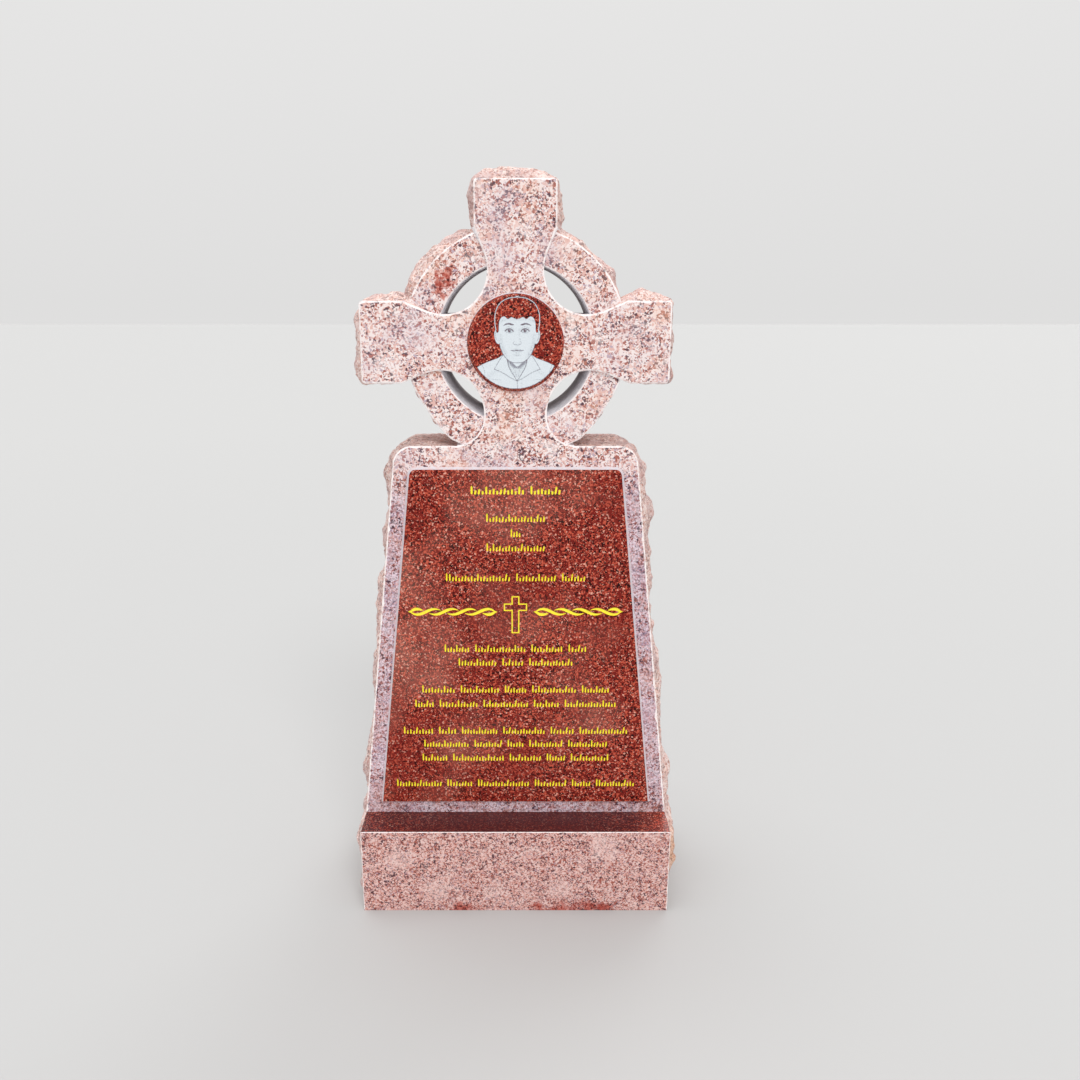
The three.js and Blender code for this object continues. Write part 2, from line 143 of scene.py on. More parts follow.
HEAD = (
    ("fill", 0.94, 0.9, ((-30, 20), (-34.5, 23), (-38.6, 21), (-40, 13.5), (-38.4, 5), (-35, -1),
                         (-30.5, 0))),
    ("line", 0.62, 0.9, 1.0, ((-34, 18.5), (-37, 17.5), (-37.6, 10), (-34.6, 3.5))),
    ("fill", 1.0, 0.9, ((3, -34), (-9, -33), (-17, -28.5), (-24, -20), (-29, -8), (-31.5, 5), (-32.6, 18),
                        (-32, 32), (-31, 46), (-20, 56), (3, 58))),
    ("fill", 0.82, 5.0, ((-31, 14), (-29.5, -4), (-25, -17), (-16, -28), (-19, -15), (-25, -2), (-27, 14))),
    ("fill", 0.85, 4.0, ((5, 42), (-16, 42), (-29, 40), (-30, 34), (-16, 38), (5, 38.5))),
    ("fill", 0.87, 4.5, ((-5, 24), (-9, 27), (-19, 27), (-23, 22), (-19, 17), (-8, 17))),
    ("line", 0.40, 0.8, 1.6, ((-6.6, 19.6), (-9.6, 22.7), (-13.6, 24), (-17.8, 22.8), (-21, 20.1))),
    ("line", 0.66, 0.9, 0.9, ((-7.4, 18.8), (-11, 17.2), (-15.4, 17), (-19.6, 18.8))),
    ("line", 0.78, 1.0, 0.9, ((-7.6, 25.4), (-13.4, 27.6), (-20.4, 25.2))),
    ("line", 0.44, 0.8, 5.4, ((-13.59, 20.5), (-13.61, 20.5))),
    ("line", 0.34, 0.7, 2.4, ((-13.59, 20.6), (-13.61, 20.6))),
    ("fill", 0.44, 1.0, ((-5.4, 30.4), (-9.5, 32.8), (-15.5, 33.8), (-21, 32), (-24.4, 28.6), (-20.6, 30),
                         (-15, 31), (-9, 29.6))),
    ("line", 0.64, 0.9, 1.0, ((-5, 2.4), (-7, 0.4), (-6.2, -2.2), (-4.2, -2.6))),
    ("line", 0.44, 0.8, 1.3, ((-1.7, -3.1), (-4.0, -2.5))),
    ("fill", 0.80, 1.4, ((0.5, -10.3), (-2, -9.5), (-5.4, -10.7), (-10.4, -12.7), (-5, -13.6), (0.5, -13.4))),
    ("fill", 0.87, 1.4, ((0.5, -13.4), (-9, -13.4), (-5.2, -17.3), (0.5, -18.4))),
    ("line", 0.44, 0.8, 1.1, ((0.5, -13.3), (-2, -12.9), (-6, -13.5), (-10.8, -12.8))),
    ("fill", 0.80, 3.4, ((0.5, -19.6), (-6, -19.4), (-5, -21.6), (0.5, -22.4))),
    ("line", 0.52, 0.9, 1.1, ((0.5, -34.2), (-9, -33.1), (-17, -28.6), (-24, -20.2), (-28.4, -10))),
    ("line", 0.74, 0.9, 0.9, ((-28.4, -10), (-31.4, 4))),
)
NOSE = (
    ("fill", 0.84, 3.2, ((2.4, 25), (5, 22), (4.6, 10), (7, 3), (4.4, 2.6), (2.6, 12))),
    ("fill", 0.76, 2.2, ((-5, -2.8), (0, -2.2), (5, -2.8), (0, -5.4))),
    ("line", 0.88, 1.6, 1.8, ((0, -5.6), (0, -8.8))),
)
HAIR = (
    ("fill", 0.0, 0.9, ((1, 76), (-17, 73), (-30, 65), (-37, 51), (-38, 35), (-36, 19), (-32.4, 19.5),
                        (-31.6, 34), (-28, 42.5), (-22, 44.6), (-16, 40.6), (-10, 43.6), (-4, 41.4),
                        (1, 43.8))),
)
HAIRLINE = (
    ("line", 1.0, 0.7, 1.5, ((-36.8, 22), (-38.8, 36), (-37.4, 52), (-30, 66.4), (-16.6, 74.6), (0, 77.4))),
)
GLINTS = (
    ("line", 1.0, 0.8, 1.1, ((-12.6, 21.8), (-12.8, 22))),
    ("line", 1.0, 0.8, 1.1, ((14.6, 21.8), (14.4, 22))),
)
PICTURE = (NECK, SHIRT, PLACKET, HEAD, NOSE, HAIR, HAIRLINE, GLINTS)
DRAWN_ONCE = (PLACKET, NOSE, GLINTS)

# The part of the picture with a finer mesh: half width, foot and head in mm, and both spacings
FINE_HALF = 43
FINE_FOOT = -48
FINE_HEAD = 50
FINE_SPACING = 0.75 * MM
PLAIN_SPACING = 1.3 * MM

# Patches on the dressed stone: x, height and reach in metres
RING_STAINS = ((-0.117, 1.211, 0.017), (-0.124, 1.199, 0.017), (-0.129, 1.186, 0.013))
BASE_PALE = ((-0.23, 0.115, 0.030), (-0.16, 0.045, 0.028), (-0.04, 0.045, 0.026), (0.09, 0.045, 0.030),
             (0.175, 0.135, 0.034))
BASE_RED = ((-0.105, -0.004, 0.026), (0.045, -0.004, 0.022), (0.09, -0.004, 0.028), (0.14, -0.004, 0.030),
            (0.175, -0.004, 0.022))
RING_FACE = -0.071
BASE_FACE = -0.15

# Lights: name, direction that it comes from, spread in degrees and strength
LIGHTS = (
    ("key", (0.7, -2.3, 2.25), 24, 1.06),
    ("top", (-0.4, 0.2, 2.65), 36, 1.15),
    ("fill", (-0.9, -3.4, 0.3), 40, 0.36),
    ("rear", (1.4, 2.6, 1.85), 36, 0.58),
)
FLOOR_REACH = 40.0
FLOOR_NEAR = (0.46, 0.46, 0.458)
FLOOR_FAR = (0.475, 0.475, 0.472)
SKY_TINT = (1.0, 0.995, 0.99, 1)
SKY_OVERHEAD = 1.2


def length(name, text, value):
    return FloatProperty(name=name, description=text, default=value * MM, unit="LENGTH")


def angle(name, text, degrees):
    return FloatProperty(name=name, description=text, default=math.radians(degrees), subtype="ANGLE")


def tint(name, text, value):
    return FloatVectorProperty(name=name, description=text, default=value, subtype="COLOR", min=0, max=1)


class UprightSizes(bpy.types.PropertyGroup):
    """Sizes of the tablet, the cross and the ring"""

    thickness: length("Thickness", "Slab from front to back", 156)
    tablet_height: length("Tablet height", "Foot to head of the tablet", 740)
    foot_width: length("Foot width", "Tablet's width at its foot", 600)
    head_width: length("Head width", "Tablet's width at its head", 438)
    shoulder_radius: length("Shoulder radius", "Rounding of the tablet's upper corners", 36)
    cross_rise: length("Cross rise", "Head of the tablet to the cross centre", 182)
    side_reach: length("Side arm reach", "Cross centre to the end of a side arm", 272)
    top_reach: length("Top arm reach", "Cross centre to the top", 270)
    arm_width: length("Arm width", "Width of an arm at its end", 142)
    arm_corner: length("Arm corner", "Rounding of an arm's corners", 7)
    armpit: length("Armpit radius", "Round hollow between two arms", 75)
    arm_foot: length("Arm foot radius", "Curve from the lower arm into the tablet's head", 54)
    upper_neck: length("Upper neck", "Narrowest width of the top arm", 98)
    side_neck: length("Side neck", "Narrowest width of a side arm", 96)
    lower_neck: length("Lower neck", "Narrowest width of the lower arm", 112)
    flare: angle("Flare", "Angle at which an arm widens", 22)
    ring_outer: length("Ring outer radius", "Outside of the ring", 197)
    ring_inner: length("Ring inner radius", "Inside of the ring", 137)
    ring_setback: length("Ring setback", "Ring's face behind the arms' faces", 7)
    ring_spread: length("Ring spread", "How far the ring widens at the shoulders", 10)
    arris: length("Arris width", "Bruised band along the pitched edges", 2.9)


class PanelSizes(bpy.types.PropertyGroup):
    """Sizes of the polished panel and disc and of their carving"""

    foot_margin: length("Foot margin", "Tablet's foot to the panel", 23)
    head_margin: length("Head margin", "Panel to the tablet's head", 38)
    foot_inset: length("Foot inset", "Tablet's side to the panel, at the foot", 29.5)
    head_inset: length("Head inset", "Tablet's side to the panel, at the head", 28)
    rise: length("Panel rise", "How far the panel stands out", 6)
    bevel: length("Panel bevel", "Width of the panel's bevel", 4)
    corner: length("Panel corner", "Rounding of the panel's upper corners", 16)
    disc_radius: length("Disc radius", "Raised disc at the cross centre", 85)
    disc_rise: length("Disc rise", "How far the disc stands out", 8)
    disc_bevel: length("Disc bevel", "Width of the disc's bevel", 5)
    stroke_depth: length("Stroke depth", "Depth of the cut strokes", 1.3)
    stroke_width: length("Stroke width", "Width of the cut strokes", 2.7)
    picture_depth: length("Picture depth", "Depth of the disc's etched picture", 0.35)
    stroke_height: length("Stroke height", "Height of most strokes", 13)
    rope_level: length("Rope level", "Ropes above the panel's foot", 404)
    rope_start: length("Rope start", "Middle of the panel to the ropes", 34)
    rope_reach: length("Rope reach", "Middle of the panel to the ropes' outer ends", 202)
    cross_level: length("Small cross level", "Middle of the small cross above the panel's foot", 398)
    cross_height: length("Small cross height", "Height of the small cross", 74)
    cross_span: length("Small cross span", "Width of the small cross", 44)


class BaseSizes(bpy.types.PropertyGroup):
    """Sizes of the base block"""

    width: length("Width", "Between the pitch lines of the ends", 600)
    depth: FloatProperty(name="Depth", description="Front to back", default=BASE_BOX[1].y - BASE_BOX[0].y,
                         unit="LENGTH")
    height: FloatProperty(name="Height", description="Underside to polished top", default=BASE_BOX[1].z,
                          unit="LENGTH")


class StoneColours(bpy.types.PropertyGroup):
    """Colours of the granite's grains and of the finishes"""

    cream: tint("Cream", "Pale grains of the dressed stone", (0.85, 0.735, 0.715))
    feldspar: tint("Feldspar", "Pink grains of the dressed stone", (0.73, 0.455, 0.405))
    mauve: tint("Mauve", "Greyish grains of the dressed stone", (0.49, 0.38, 0.445))
    rust: tint("Rust", "Red-brown grains of the dressed stone", (0.38, 0.125, 0.095))
    plum: tint("Plum", "Dark grains of the dressed stone", (0.10, 0.045, 0.06))
    stain: tint("Stain", "Tint of the red patches in the dressed stone", (0.66, 0.20, 0.13))
    blushing: tint("Base tint", "Tint of the base's dressed faces", (0.87, 0.70, 0.67))
    cool: tint("Cool tint", "Tint of the dressed stone beside the panel", (0.73, 0.67, 0.76))
    deep_red: tint("Deep red", "Ground of the polished stone", (0.185, 0.014, 0.010))
    ember: tint("Ember", "Orange grains of the polished stone", (0.52, 0.088, 0.05))
    garnet: tint("Garnet", "Dark grains of the polished stone", (0.022, 0.003, 0.003))
    blush: tint("Blush", "Pale grains of the polished stone", (0.72, 0.34, 0.26))
    # The maroon is darker than the panel's red as painted dark reflection: the polished top is coloured as if
    # it reflected dark surroundings.
    maroon: tint("Maroon", "Ground of the base's polished top", (0.07, 0.016, 0.018))
    broken: tint("Broken stone", "Fresh face of the pitched rock", (0.78, 0.57, 0.49))
    bruise: tint("Bruise", "Crushed stone along an arris", (0.92, 0.85, 0.84))
    sawn: tint("Sawn stone", "Smooth walls of the openings", (0.93, 0.95, 0.99))
    honed: tint("Honed stone", "Bevel of the panel", (0.63, 0.61, 0.66))
    gilt: tint("Gilt", "Paint in the cut strokes", (0.94, 0.83, 0.04))
    etch: tint("Etch", "White of the disc's picture", (0.71, 0.76, 0.80))


class StageSettings(bpy.types.PropertyGroup):
    """Place of the camera and strength of the lights"""

    eye_distance: length("Eye distance", "Camera to the slab's face", 1625)
    eye_height: length("Eye height", "Camera above the base's top", 999)
    eye_tilt: angle("Eye tilt", "Camera's dip below level", 14.95)
    lens: FloatProperty(name="Lens", description="Focal length in mm", default=30.33)
    shift: FloatProperty(name="Shift", description="Sideways shift of the view", default=0.0227)
    sky: FloatProperty(name="Sky", description="Brightness of the surroundings", default=0.74)


# Outline of the upright


def arc(x, z, radius, start, end, step=3.0 * MM):
    """Points of an arc about a centre, from one angle to another."""
    count = max(3, math.ceil(abs(end - start) * radius / step))
    angles = [start + (end - start) * i / count for i in range(count + 1)]
    return [Vector((x + radius * math.cos(a), z + radius * math.sin(a))) for a in angles]


def round_corner(a, b, c, radius):
    """The arc that rounds the corner at b between the lines to a and c."""
    to_a = (a - b).normalized()
    to_c = (c - b).normalized()
    half = to_a.angle(to_c) / 2
    centre = b + (to_a + to_c).normalized() * (radius / math.sin(half))
    start = b + to_a * (radius / math.tan(half)) - centre
    end = b + to_c * (radius / math.tan(half)) - centre
    begin = math.atan2(start.y, start.x)
    sweep = math.atan2(start.x * end.y - start.y * end.x, start.dot(end))
    return arc(centre.x, centre.y, radius, begin, begin + sweep)


def blend(pairs, share):
    """A smooth rise and fall between the listed pairs of share and height, in metres."""
    for (low, low_value), (high, high_value) in zip(pairs, pairs[1:]):
        if share <= high:
            t = (share - low) / (high - low)
            return (low_value + (high_value - low_value) * (1 - math.cos(math.pi * t)) / 2) * MM
    return pairs[-1][1] * MM


class Mark:
    """One point of an outline: its place, how far its rock stands proud, and the finish of the next wall."""

    def __init__(self, point, proud=0.0, finish="sawn"):
        self.point = point
        self.proud = proud
        self.finish = finish


def stretch(corners, humps=None, finish="sawn", step=4.0 * MM):
    """A stretch of outline cut into short steps."""
    points = [corners[0]]
    for start, end in zip(corners, corners[1:]):
        count = max(1, round((end - start).length / step))
        points += [start.lerp(end, i / count) for i in range(1, count + 1)]
    along = [0.0]
    for start, end in zip(points, points[1:]):
        along.append(along[-1] + (end - start).length)
    return [Mark(p, blend(humps, a / along[-1]) if humps else 0.0, finish) for p, a in zip(points, along)]


def mirrored(marks):
    """The mirror image of a half outline, run the other way."""
    turned = [Mark(Vector((-m.point.x, m.point.y)), m.proud, m.finish) for m in marks]
    for mark, finish in zip(turned, [marks[0].finish] + [m.finish for m in marks[:-1]]):
        mark.finish = finish
    return turned[::-1]


def slab_half(up, rock):
    """One half of the slab's outline, from the foot of the tablet to the middle of the top arm."""
    arm = up.arm_width / 2
    centre = up.tablet_height + up.cross_rise
    lower = Vector((up.lower_neck / 2 + up.armpit, centre - up.side_neck / 2 - up.armpit))
    upper = Vector((up.upper_neck / 2 + up.armpit, centre + up.side_neck / 2 + up.armpit))

    flare_out = up.armpit * math.sin(up.flare)
    flare_drop = up.armpit * (1 - math.cos(up.flare))
    side_run = flare_out + (arm - up.side_neck / 2 - flare_drop) / math.tan(up.flare)
    top_run = flare_out + (arm - up.upper_neck / 2 - flare_drop) / math.tan(up.flare)

    quarter = math.pi / 2
    foot_radius = min(up.arm_foot, lower.y - up.tablet_height)
    foot_arc = arc(up.lower_neck / 2 + foot_radius, up.tablet_height + foot_radius, foot_radius,
                   3 * quarter, math.pi)
    lower_arc = arc(lower.x, lower.y, up.armpit, math.pi, quarter - up.flare)
    upper_arc = arc(upper.x, upper.y, up.armpit, 3 * quarter + up.flare, math.pi - up.flare)

    foot = Vector((up.foot_width / 2, 0))
    shoulder = Vector((up.head_width / 2, up.tablet_height))
    tablet = [foot, *round_corner(foot, shoulder, foot_arc[0], up.shoulder_radius), foot_arc[0]]

    under = Vector((lower.x + side_run, centre - arm))
    over = Vector((upper.x + side_run, centre + arm))
    end_low = Vector((up.side_reach, centre - arm))
    end_high = Vector((up.side_reach, centre + arm))
    side_arm = [
        under,
        *round_corner(under, end_low, end_high, up.arm_corner),
        *round_corner(end_low, end_high, over, up.arm_corner),
        over,
    ]

    side = Vector((arm, upper.y + top_run))
    corner = Vector((arm, centre + up.top_reach))
    crown = Vector((0, centre + up.top_reach))
    top_arm = [side, *round_corner(side, corner, crown, up.arm_corner), crown]

    marks = stretch(tablet, rock["tablet"], "rock")
    marks += stretch(foot_arc + lower_arc)[1:]
    marks += stretch(side_arm, rock["side_arm"], "rock")
    marks += stretch(upper_arc)
    marks += stretch(top_arm, rock["top_arm"], "rock")
    return marks


# Solids


def finish_index(name):
    return FINISHES.index(name)


def solid(name, points, faces, finishes):
    """An object from points, faces and each face's finish."""
    mesh = bpy.data.meshes.new(name)
    mesh.from_pydata(points, [], faces)
    mesh.polygons.foreach_set("material_index", [finish_index(f) for f in finishes])
    mesh.update()
    made = bpy.data.objects.new(name, mesh)
    bpy.context.collection.objects.link(made)
    return made


def outward(marks, i):
    """The direction out of the stone at a mark, in x and z."""
    count = len(marks)
    before = marks[(i - 1) % count].point
    after = marks[(i + 1) % count].point
    here = marks[i].point
    if (here - before).length > 0.1:
        before = here
    if (after - here).length > 0.1:
        after = here
    along = (after - before).normalized()
    return Vector((along.y, -along.x))


def scoops(place, size):
    """Shallow scoops that meet in ridges: 0 on a ridge, up to 1 in the middle of a scoop."""
    distances, _ = noise.voronoi(Vector((place.x / size, place.y / (1.5 * size), place.z / size)))
    return max(0.0, 1 - (distances[0] / 0.8) ** 2)


def chips(place, size):
    """Flat chips, each tilted its own way, that step down from one to the next: about -1 to 1."""
    at = Vector((place.x / size, place.y / (1.3 * size), place.z / size))
    centre = noise.voronoi(at)[1][0]
    tilt = noise.cell_vector(centre * 7.3) - Vector((0.5, 0.5, 0.5))
    return max(-1.0, min(1.0, 1.3 * tilt.dot(at - centre) + 0.8 * noise.noise(centre * 5.1)))


def broken(place):
    """How far the broken face lies below its swell."""
    low = sum(deep * MM * scoops(place, size * MM) for deep, size in SCOOPS) - BREAK_LEVEL
    return low + sum(deep * MM * chips(place, size * MM) for deep, size in CHIPS)


def ripple(along, depth):
    """An unevenness that runs over the rock face in waves."""
    grain = 17 * MM
    return 1 + 0.14 * (math.sin((along + depth) / grain) + math.sin((along - 2 * depth) / (2 * grain)))


def held(value, limit, give=3.0 * MM):
    """Flattens what would pass a limit, so that a ridge ends just short of it."""
    over = abs(value) - (limit - give)
    if over <= 0 or give == 0:
        return value
    return math.copysign(limit - give * math.exp(-over / give), value)


def eased(value, reach):
    """Rises smoothly from 0 at the edge to 1 at a distance from it."""
    t = min(1.0, max(0.0, value / reach))
    return t * t * (3 - 2 * t)


def rock_block(name, marks, front, back, arris, box, lift=0.0, step=4.2 * MM, face="hammered"):
    """A solid between two faces whose wall swells out as pitched rock, with a bruised arris round each."""
    count = len(marks)
    depth = back - front
    drop = ARRIS_DROP * arris
    rows = max(6, round(depth / step))
    depths = [0.0] + [drop + (depth - 2 * drop) * i / rows for i in range(rows + 1)] + [depth]
    points = []
    travelled = 0.0
    for i, mark in enumerate(marks):
        out = outward(marks, i)
        if i:
            travelled += (mark.point - marks[i - 1].point).length
        rough = mark.finish == "rock" or marks[i - 1].finish == "rock"
        at_edge = Vector((mark.point.x, 3.0, mark.point.y))
        flake = max(0.0, noise.noise(at_edge / FLAKE_SIZE) - 0.3) * 2.2 if rough else 0.0
        inset = 0.0
        if mark.point.y > 0:
            inset = arris * (1 + 0.45 * noise.noise(at_edge / ARRIS_WAVE) + flake)
        for j, at in enumerate(depths):
            if j in (0, len(depths) - 1):
                offset = -inset
            else:
                share = (at - drop) / (depth - 2 * drop)
                swell = math.sqrt(max(0.0, math.sin(math.pi * share)))
                offset = mark.proud * swell * ripple(travelled, depth * share)
                if rough:
                    place = Vector((mark.point.x, front + at, mark.point.y))
                    edge = eased(min(at, depth - at), EDGE_REACH) * min(1.0, 0.35 + mark.proud / FULL_RELIEF)
                    grit = 0.5 + 0.5 * noise.noise(place / GRIT_SIZE)
                    offset -= edge * broken(place) + (0.25 + 0.75 * edge) * GRIT_DEPTH * grit
            x = mark.point.x + out.x * offset
            x = held(x, box[1].x if x > 0 else -box[0].x)
            z = max(0.0, mark.point.y + out.y * offset) + lift
            points.append((x, front + at, held(z, box[1].z, 2 * MM if rough else 0.0)))
    per = len(depths)
    faces = []
    finishes = []
    for i in range(count):
        after = (i + 1) % count
        for j in range(per - 1):
            faces.append((i * per + j, i * per + j + 1, after * per + j + 1, after * per + j))
            finishes.append("arris" if j in (0, per - 2) else marks[i].finish)
    faces.append(tuple(i * per for i in range(count)))
    faces.append(tuple(i * per + per - 1 for i in reversed(range(count))))
    finishes += [face, face]
    return solid(name, points, faces, finishes)


def plate(name, outlines, finishes, top):
    """A closed stack of like outlines, each a list of points with its own depth, front one first."""
    count = len(outlines[0][0])
    points = [(p.x, y, p.y) for outline, y in outlines for p in outline]
    faces = []
    kinds = []
    for j, kind in zip(range(len(outlines) - 1), finishes):
        for i in range(count):
            after = (i + 1) % count
            faces.append((j * count + i, (j + 1) * count + i, (j + 1) * count + after, j * count + after))
            kinds.append(kind)
    faces.append(tuple(range(count)))
    faces.append(tuple(reversed(range((len(outlines) - 1) * count, len(outlines) * count))))
    kinds += [top, finishes[-1]]
    return solid(name, points, faces, kinds)


def combine(stone, other, operation):
    """Joins another solid to the stone or cuts it out, and removes the other one."""
    cut = stone.modifiers.new("cut", "BOOLEAN")
    cut.operation = operation
    cut.solver = "MANIFOLD"
    cut.object = other
    graph = bpy.context.evaluated_depsgraph_get()
    mesh = bpy.data.meshes.new_from_object(stone.evaluated_get(graph))
    old = stone.data
    stone.modifiers.remove(cut)
    stone.data = mesh
    bpy.data.meshes.remove(old)
    bpy.data.objects.remove(other)
    return stone


def circle(centre, radius, swell=None, step=4.0 * MM):
    """A circle about a centre, which may swell with the angle."""
    count = round(2 * math.pi * radius / step)
    points = []
    for i in range(count):
        angle = 2 * math.pi * i / count
        reach = radius + (swell(math.degrees(angle)) if swell else 0.0)
        points.append(Vector((reach * math.cos(angle), centre + reach * math.sin(angle))))
    return points


def ring_block(up, centre, front, back, lift):
    """The ring that ties the arms together, rock-pitched outside and smooth inside."""
    foot_right, foot_left, foot_reach = 304, 236, 20

    def spread(deg):
        from_foot = min(abs(deg - foot_right), abs(deg - foot_left))
        return up.ring_spread * max(0.0, 1 - from_foot / foot_reach)

    face_front = front + up.ring_setback
    face_back = back - up.ring_setback
    points = circle(centre, up.ring_outer, spread)
    marks = [Mark(p, blend(ROCK["ring"], i / len(points)), "rock") for i, p in enumerate(points)]
    ring = rock_block("ring", marks, face_front, face_back, up.arris, UPRIGHT_BOX, lift)

    over = 20 * MM
    drop = 0.4 * up.arris
    brink = 0.7 * up.arris
    flare = 2.5 * MM
    flare_end = 70 * MM
    middle = centre + lift
    round_points = circle(0.0, 1.0, step=4 * MM / up.ring_inner)

    def bore_circle(low, more):
        return [Vector((0, middle - low)) + p * (up.ring_inner + more) for p in round_points]

    bore = plate("bore", [
        (bore_circle(flare, flare + brink), face_front - over),
        (bore_circle(flare, flare + brink), face_front),
        (bore_circle(flare, flare), face_front + drop),
        (bore_circle(0, 0), face_front + flare_end),
        (bore_circle(0, 0), face_back - drop),
        (bore_circle(0, brink), face_back),
        (bore_circle(0, brink), face_back + over),
    ], ["sawn", "arris", "sawn", "sawn", "arris", "sawn"], "sawn")
    return combine(ring, bore, "DIFFERENCE")


def half_width(up, height):
    """The tablet's half width at a height above its foot."""
    share = height / up.tablet_height
    return (up.foot_width * (1 - share) + up.head_width * share) / 2


def panel_outline(up, panel, margin, lift):
    """The panel's outline, drawn in from its edge by a margin."""
    low = panel.foot_margin + margin
    high = up.tablet_height - panel.head_margin - margin
    foot = half_width(up, panel.foot_margin) - panel.foot_inset - margin
    head = half_width(up, up.tablet_height - panel.head_margin) - panel.head_inset - margin
    foot_right, head_right = Vector((foot, low + lift)), Vector((head, high + lift))
    head_left, foot_left = Vector((-head, high + lift)), Vector((-foot, low + lift))
    points = [foot_left, foot_right]
    steps = 10
    for corner in ((foot_right, head_right, head_left), (head_right, head_left, foot_left)):
        a, b, c = corner
        half = (a - b).angle(c - b) / 2
        radius = panel.corner - margin
        centre = b + ((a - b).normalized() + (c - b).normalized()).normalized() * (radius / math.sin(half))
        start = b + (a - b).normalized() * (radius / math.tan(half)) - centre
        begin = math.atan2(start.y, start.x)
        points += [centre + Vector((math.cos(begin + t), math.sin(begin + t))) * radius
                   for t in [(math.pi - 2 * half) * k / steps for k in range(steps + 1)]]
    return points


# Carving


def chisel_cut(points, faces, middle, lean, tall, wide, face, deep):
    """Adds one V-shaped cut: a slim lozenge at the face whose keel lies below it."""
    along = Vector((math.sin(lean), math.cos(lean)))
    across = Vector((along.y, -along.x))
    shoulder = along * tall * 0.34
    side = across * wide / 2
    tip = along * tall / 2
    rim = [middle + tip, middle + shoulder + side, middle - shoulder + side,
           middle - tip, middle - shoulder - side, middle + shoulder - side]
    keel = [middle + along * tall * 0.38, middle - along * tall * 0.38]
    spill = 1 + CLEAR / deep
    first = len(points)
    for p in rim:
        nearest = keel[0] if (p - middle).dot(along) > 0 else keel[1]
        q = nearest + (p - nearest) * spill
        points.append((q.x, face - CLEAR, q.y))
    points += [(k.x, face + deep, k.y) for k in keel]
    top, low = first + 6, first + 7
    faces.append(tuple(first + i for i in range(5, -1, -1)))
    for ring_a, ring_b, ends in ((0, 1, (top,)), (1, 2, (low, top)), (2, 3, (low,)), (3, 4, (low,)),
                                 (4, 5, (top, low)), (5, 0, (top,))):
        faces.append((first + ring_a, first + ring_b, *ends))


def inscription(panel, front, lift):
    """The rows of plain cut strokes that stand where an inscription is."""
    face = front - panel.rise
    points = []
    faces = []
    cut = 0
    for row, (level, half) in enumerate(ROWS):
        count = max(1, round(2 * half / GROUP_LENGTH))
        groups = [GROUP_SHARES[(GROUP_SHIFT * row + i) % len(GROUP_SHARES)] for i in range(count)]
        unit = (2 * half * MM - GROUP_GAP * (count - 1)) / sum(groups)
        x = -half * MM
        weight = TOP_ROW_WEIGHT if row == 0 else 1.0
        pitch = TOP_ROW_PITCH if row == 0 else STROKE_PITCH
        wide = weight * panel.stroke_width
        foot = lift + panel.foot_margin + level * MM - 0.42 * weight * panel.stroke_height
        for size in groups:
            strokes = max(2, round(size * unit / pitch))
            for k in range(strokes):
                share = STROKE_HEIGHTS[cut % len(STROKE_HEIGHTS)] if k else FIRST_STROKE
                tall = panel.stroke_height * share
                lean = math.radians(STROKE_LEANS[(3 * cut) % len(STROKE_LEANS)] if k else 0)
                middle = Vector((x + (k + 0.5) * size * unit / strokes, foot + tall / 2))
                chisel_cut(points, faces, middle, lean, tall, wide, face, panel.stroke_depth)
                cut += 1
            x += size * unit + GROUP_GAP
    return solid("inscription", points, faces, ["gilded"] * len(faces))


def ribbon(name, spine, widths, face, deep):
    """A shallow flat cut of varying width that follows a line of points."""
    left, right = [], []
    for i, here in enumerate(spine):
        before = spine[max(0, i - 1)]
        after = spine[min(len(spine) - 1, i + 1)]
        along = (after - before).normalized()
        side = Vector((-along.y, along.x)) * widths[i] / 2
        left.append(here + side)
        right.append(here - side)
    outline = right + left[::-1]
    return plate(name, [(outline, face - CLEAR), (outline, face + deep)], ["gilded"], "gilded")


def ropes(panel, front, lift):
    """Two lengths of two-strand rope, one on each side of the small cross, as slim leaves that cross."""
    face = front - panel.rise
    level = lift + panel.foot_margin + panel.rope_level
    lobes = 5
    swing = 5.4 * MM
    thick = 5.9 * MM
    tuck = 0.16
    ease = 0.36
    made = []
    for side in (-1, 1):
        for phase, starts in ((1, ((0, 2), (2, 4), (4, 5))), (-1, ((0, 1), (1, 3), (3, 5)))):
            for first, last in starts:
                begin = first + (0.0 if first == 0 else tuck)
                end = last - (0.0 if last == lobes else tuck)
                spine, widths = [], []
                count = 12 * (last - first)
                for k in range(count + 1):
                    share = k / count
                    t = (begin + (end - begin) * share) / lobes
                    x = side * (panel.rope_start + (panel.rope_reach - panel.rope_start) * t)
                    apart = swing * eased(min(t, 1 - t), ease / lobes)
                    spine.append(Vector((x, level + phase * apart * math.sin(math.pi * lobes * t))))
                    widths.append(thick * (0.1 + 0.9 * abs(math.sin(math.pi * share)) ** 0.8))
                if side < 0:
                    spine.reverse()
                    widths.reverse()
                made.append(ribbon("strand", spine, widths, face, panel.stroke_depth))
    return made


def small_cross(panel, front, lift):
    """The outline of a small upright cross."""
    face = front - panel.rise
    half = 7.5 * MM
    span = panel.cross_span / 2
    low = lift + panel.foot_margin + panel.cross_level - panel.cross_height / 2
    high = low + panel.cross_height
    bar = high - span
    line = 2.5 * MM

    def outline(margin):
        h, s, b, t = half - margin, span - margin, low + margin, high - margin
        shape = [(h, b), (h, bar - h), (s, bar - h), (s, bar + h), (h, bar + h), (h, t)]
        return [Vector(p) for p in shape] + [Vector((-x, z)) for x, z in reversed(shape)]

    def cut(name, margin, above, below):
        shape = outline(margin)
        return plate(name, [(shape, face - above), (shape, face + below)], ["gilded"], "gilded")

    outer = cut("small cross", 0, CLEAR, panel.stroke_depth)
    island = cut("island", line, 4 * CLEAR, 4 * CLEAR)
    return combine(outer, island, "DIFFERENCE")


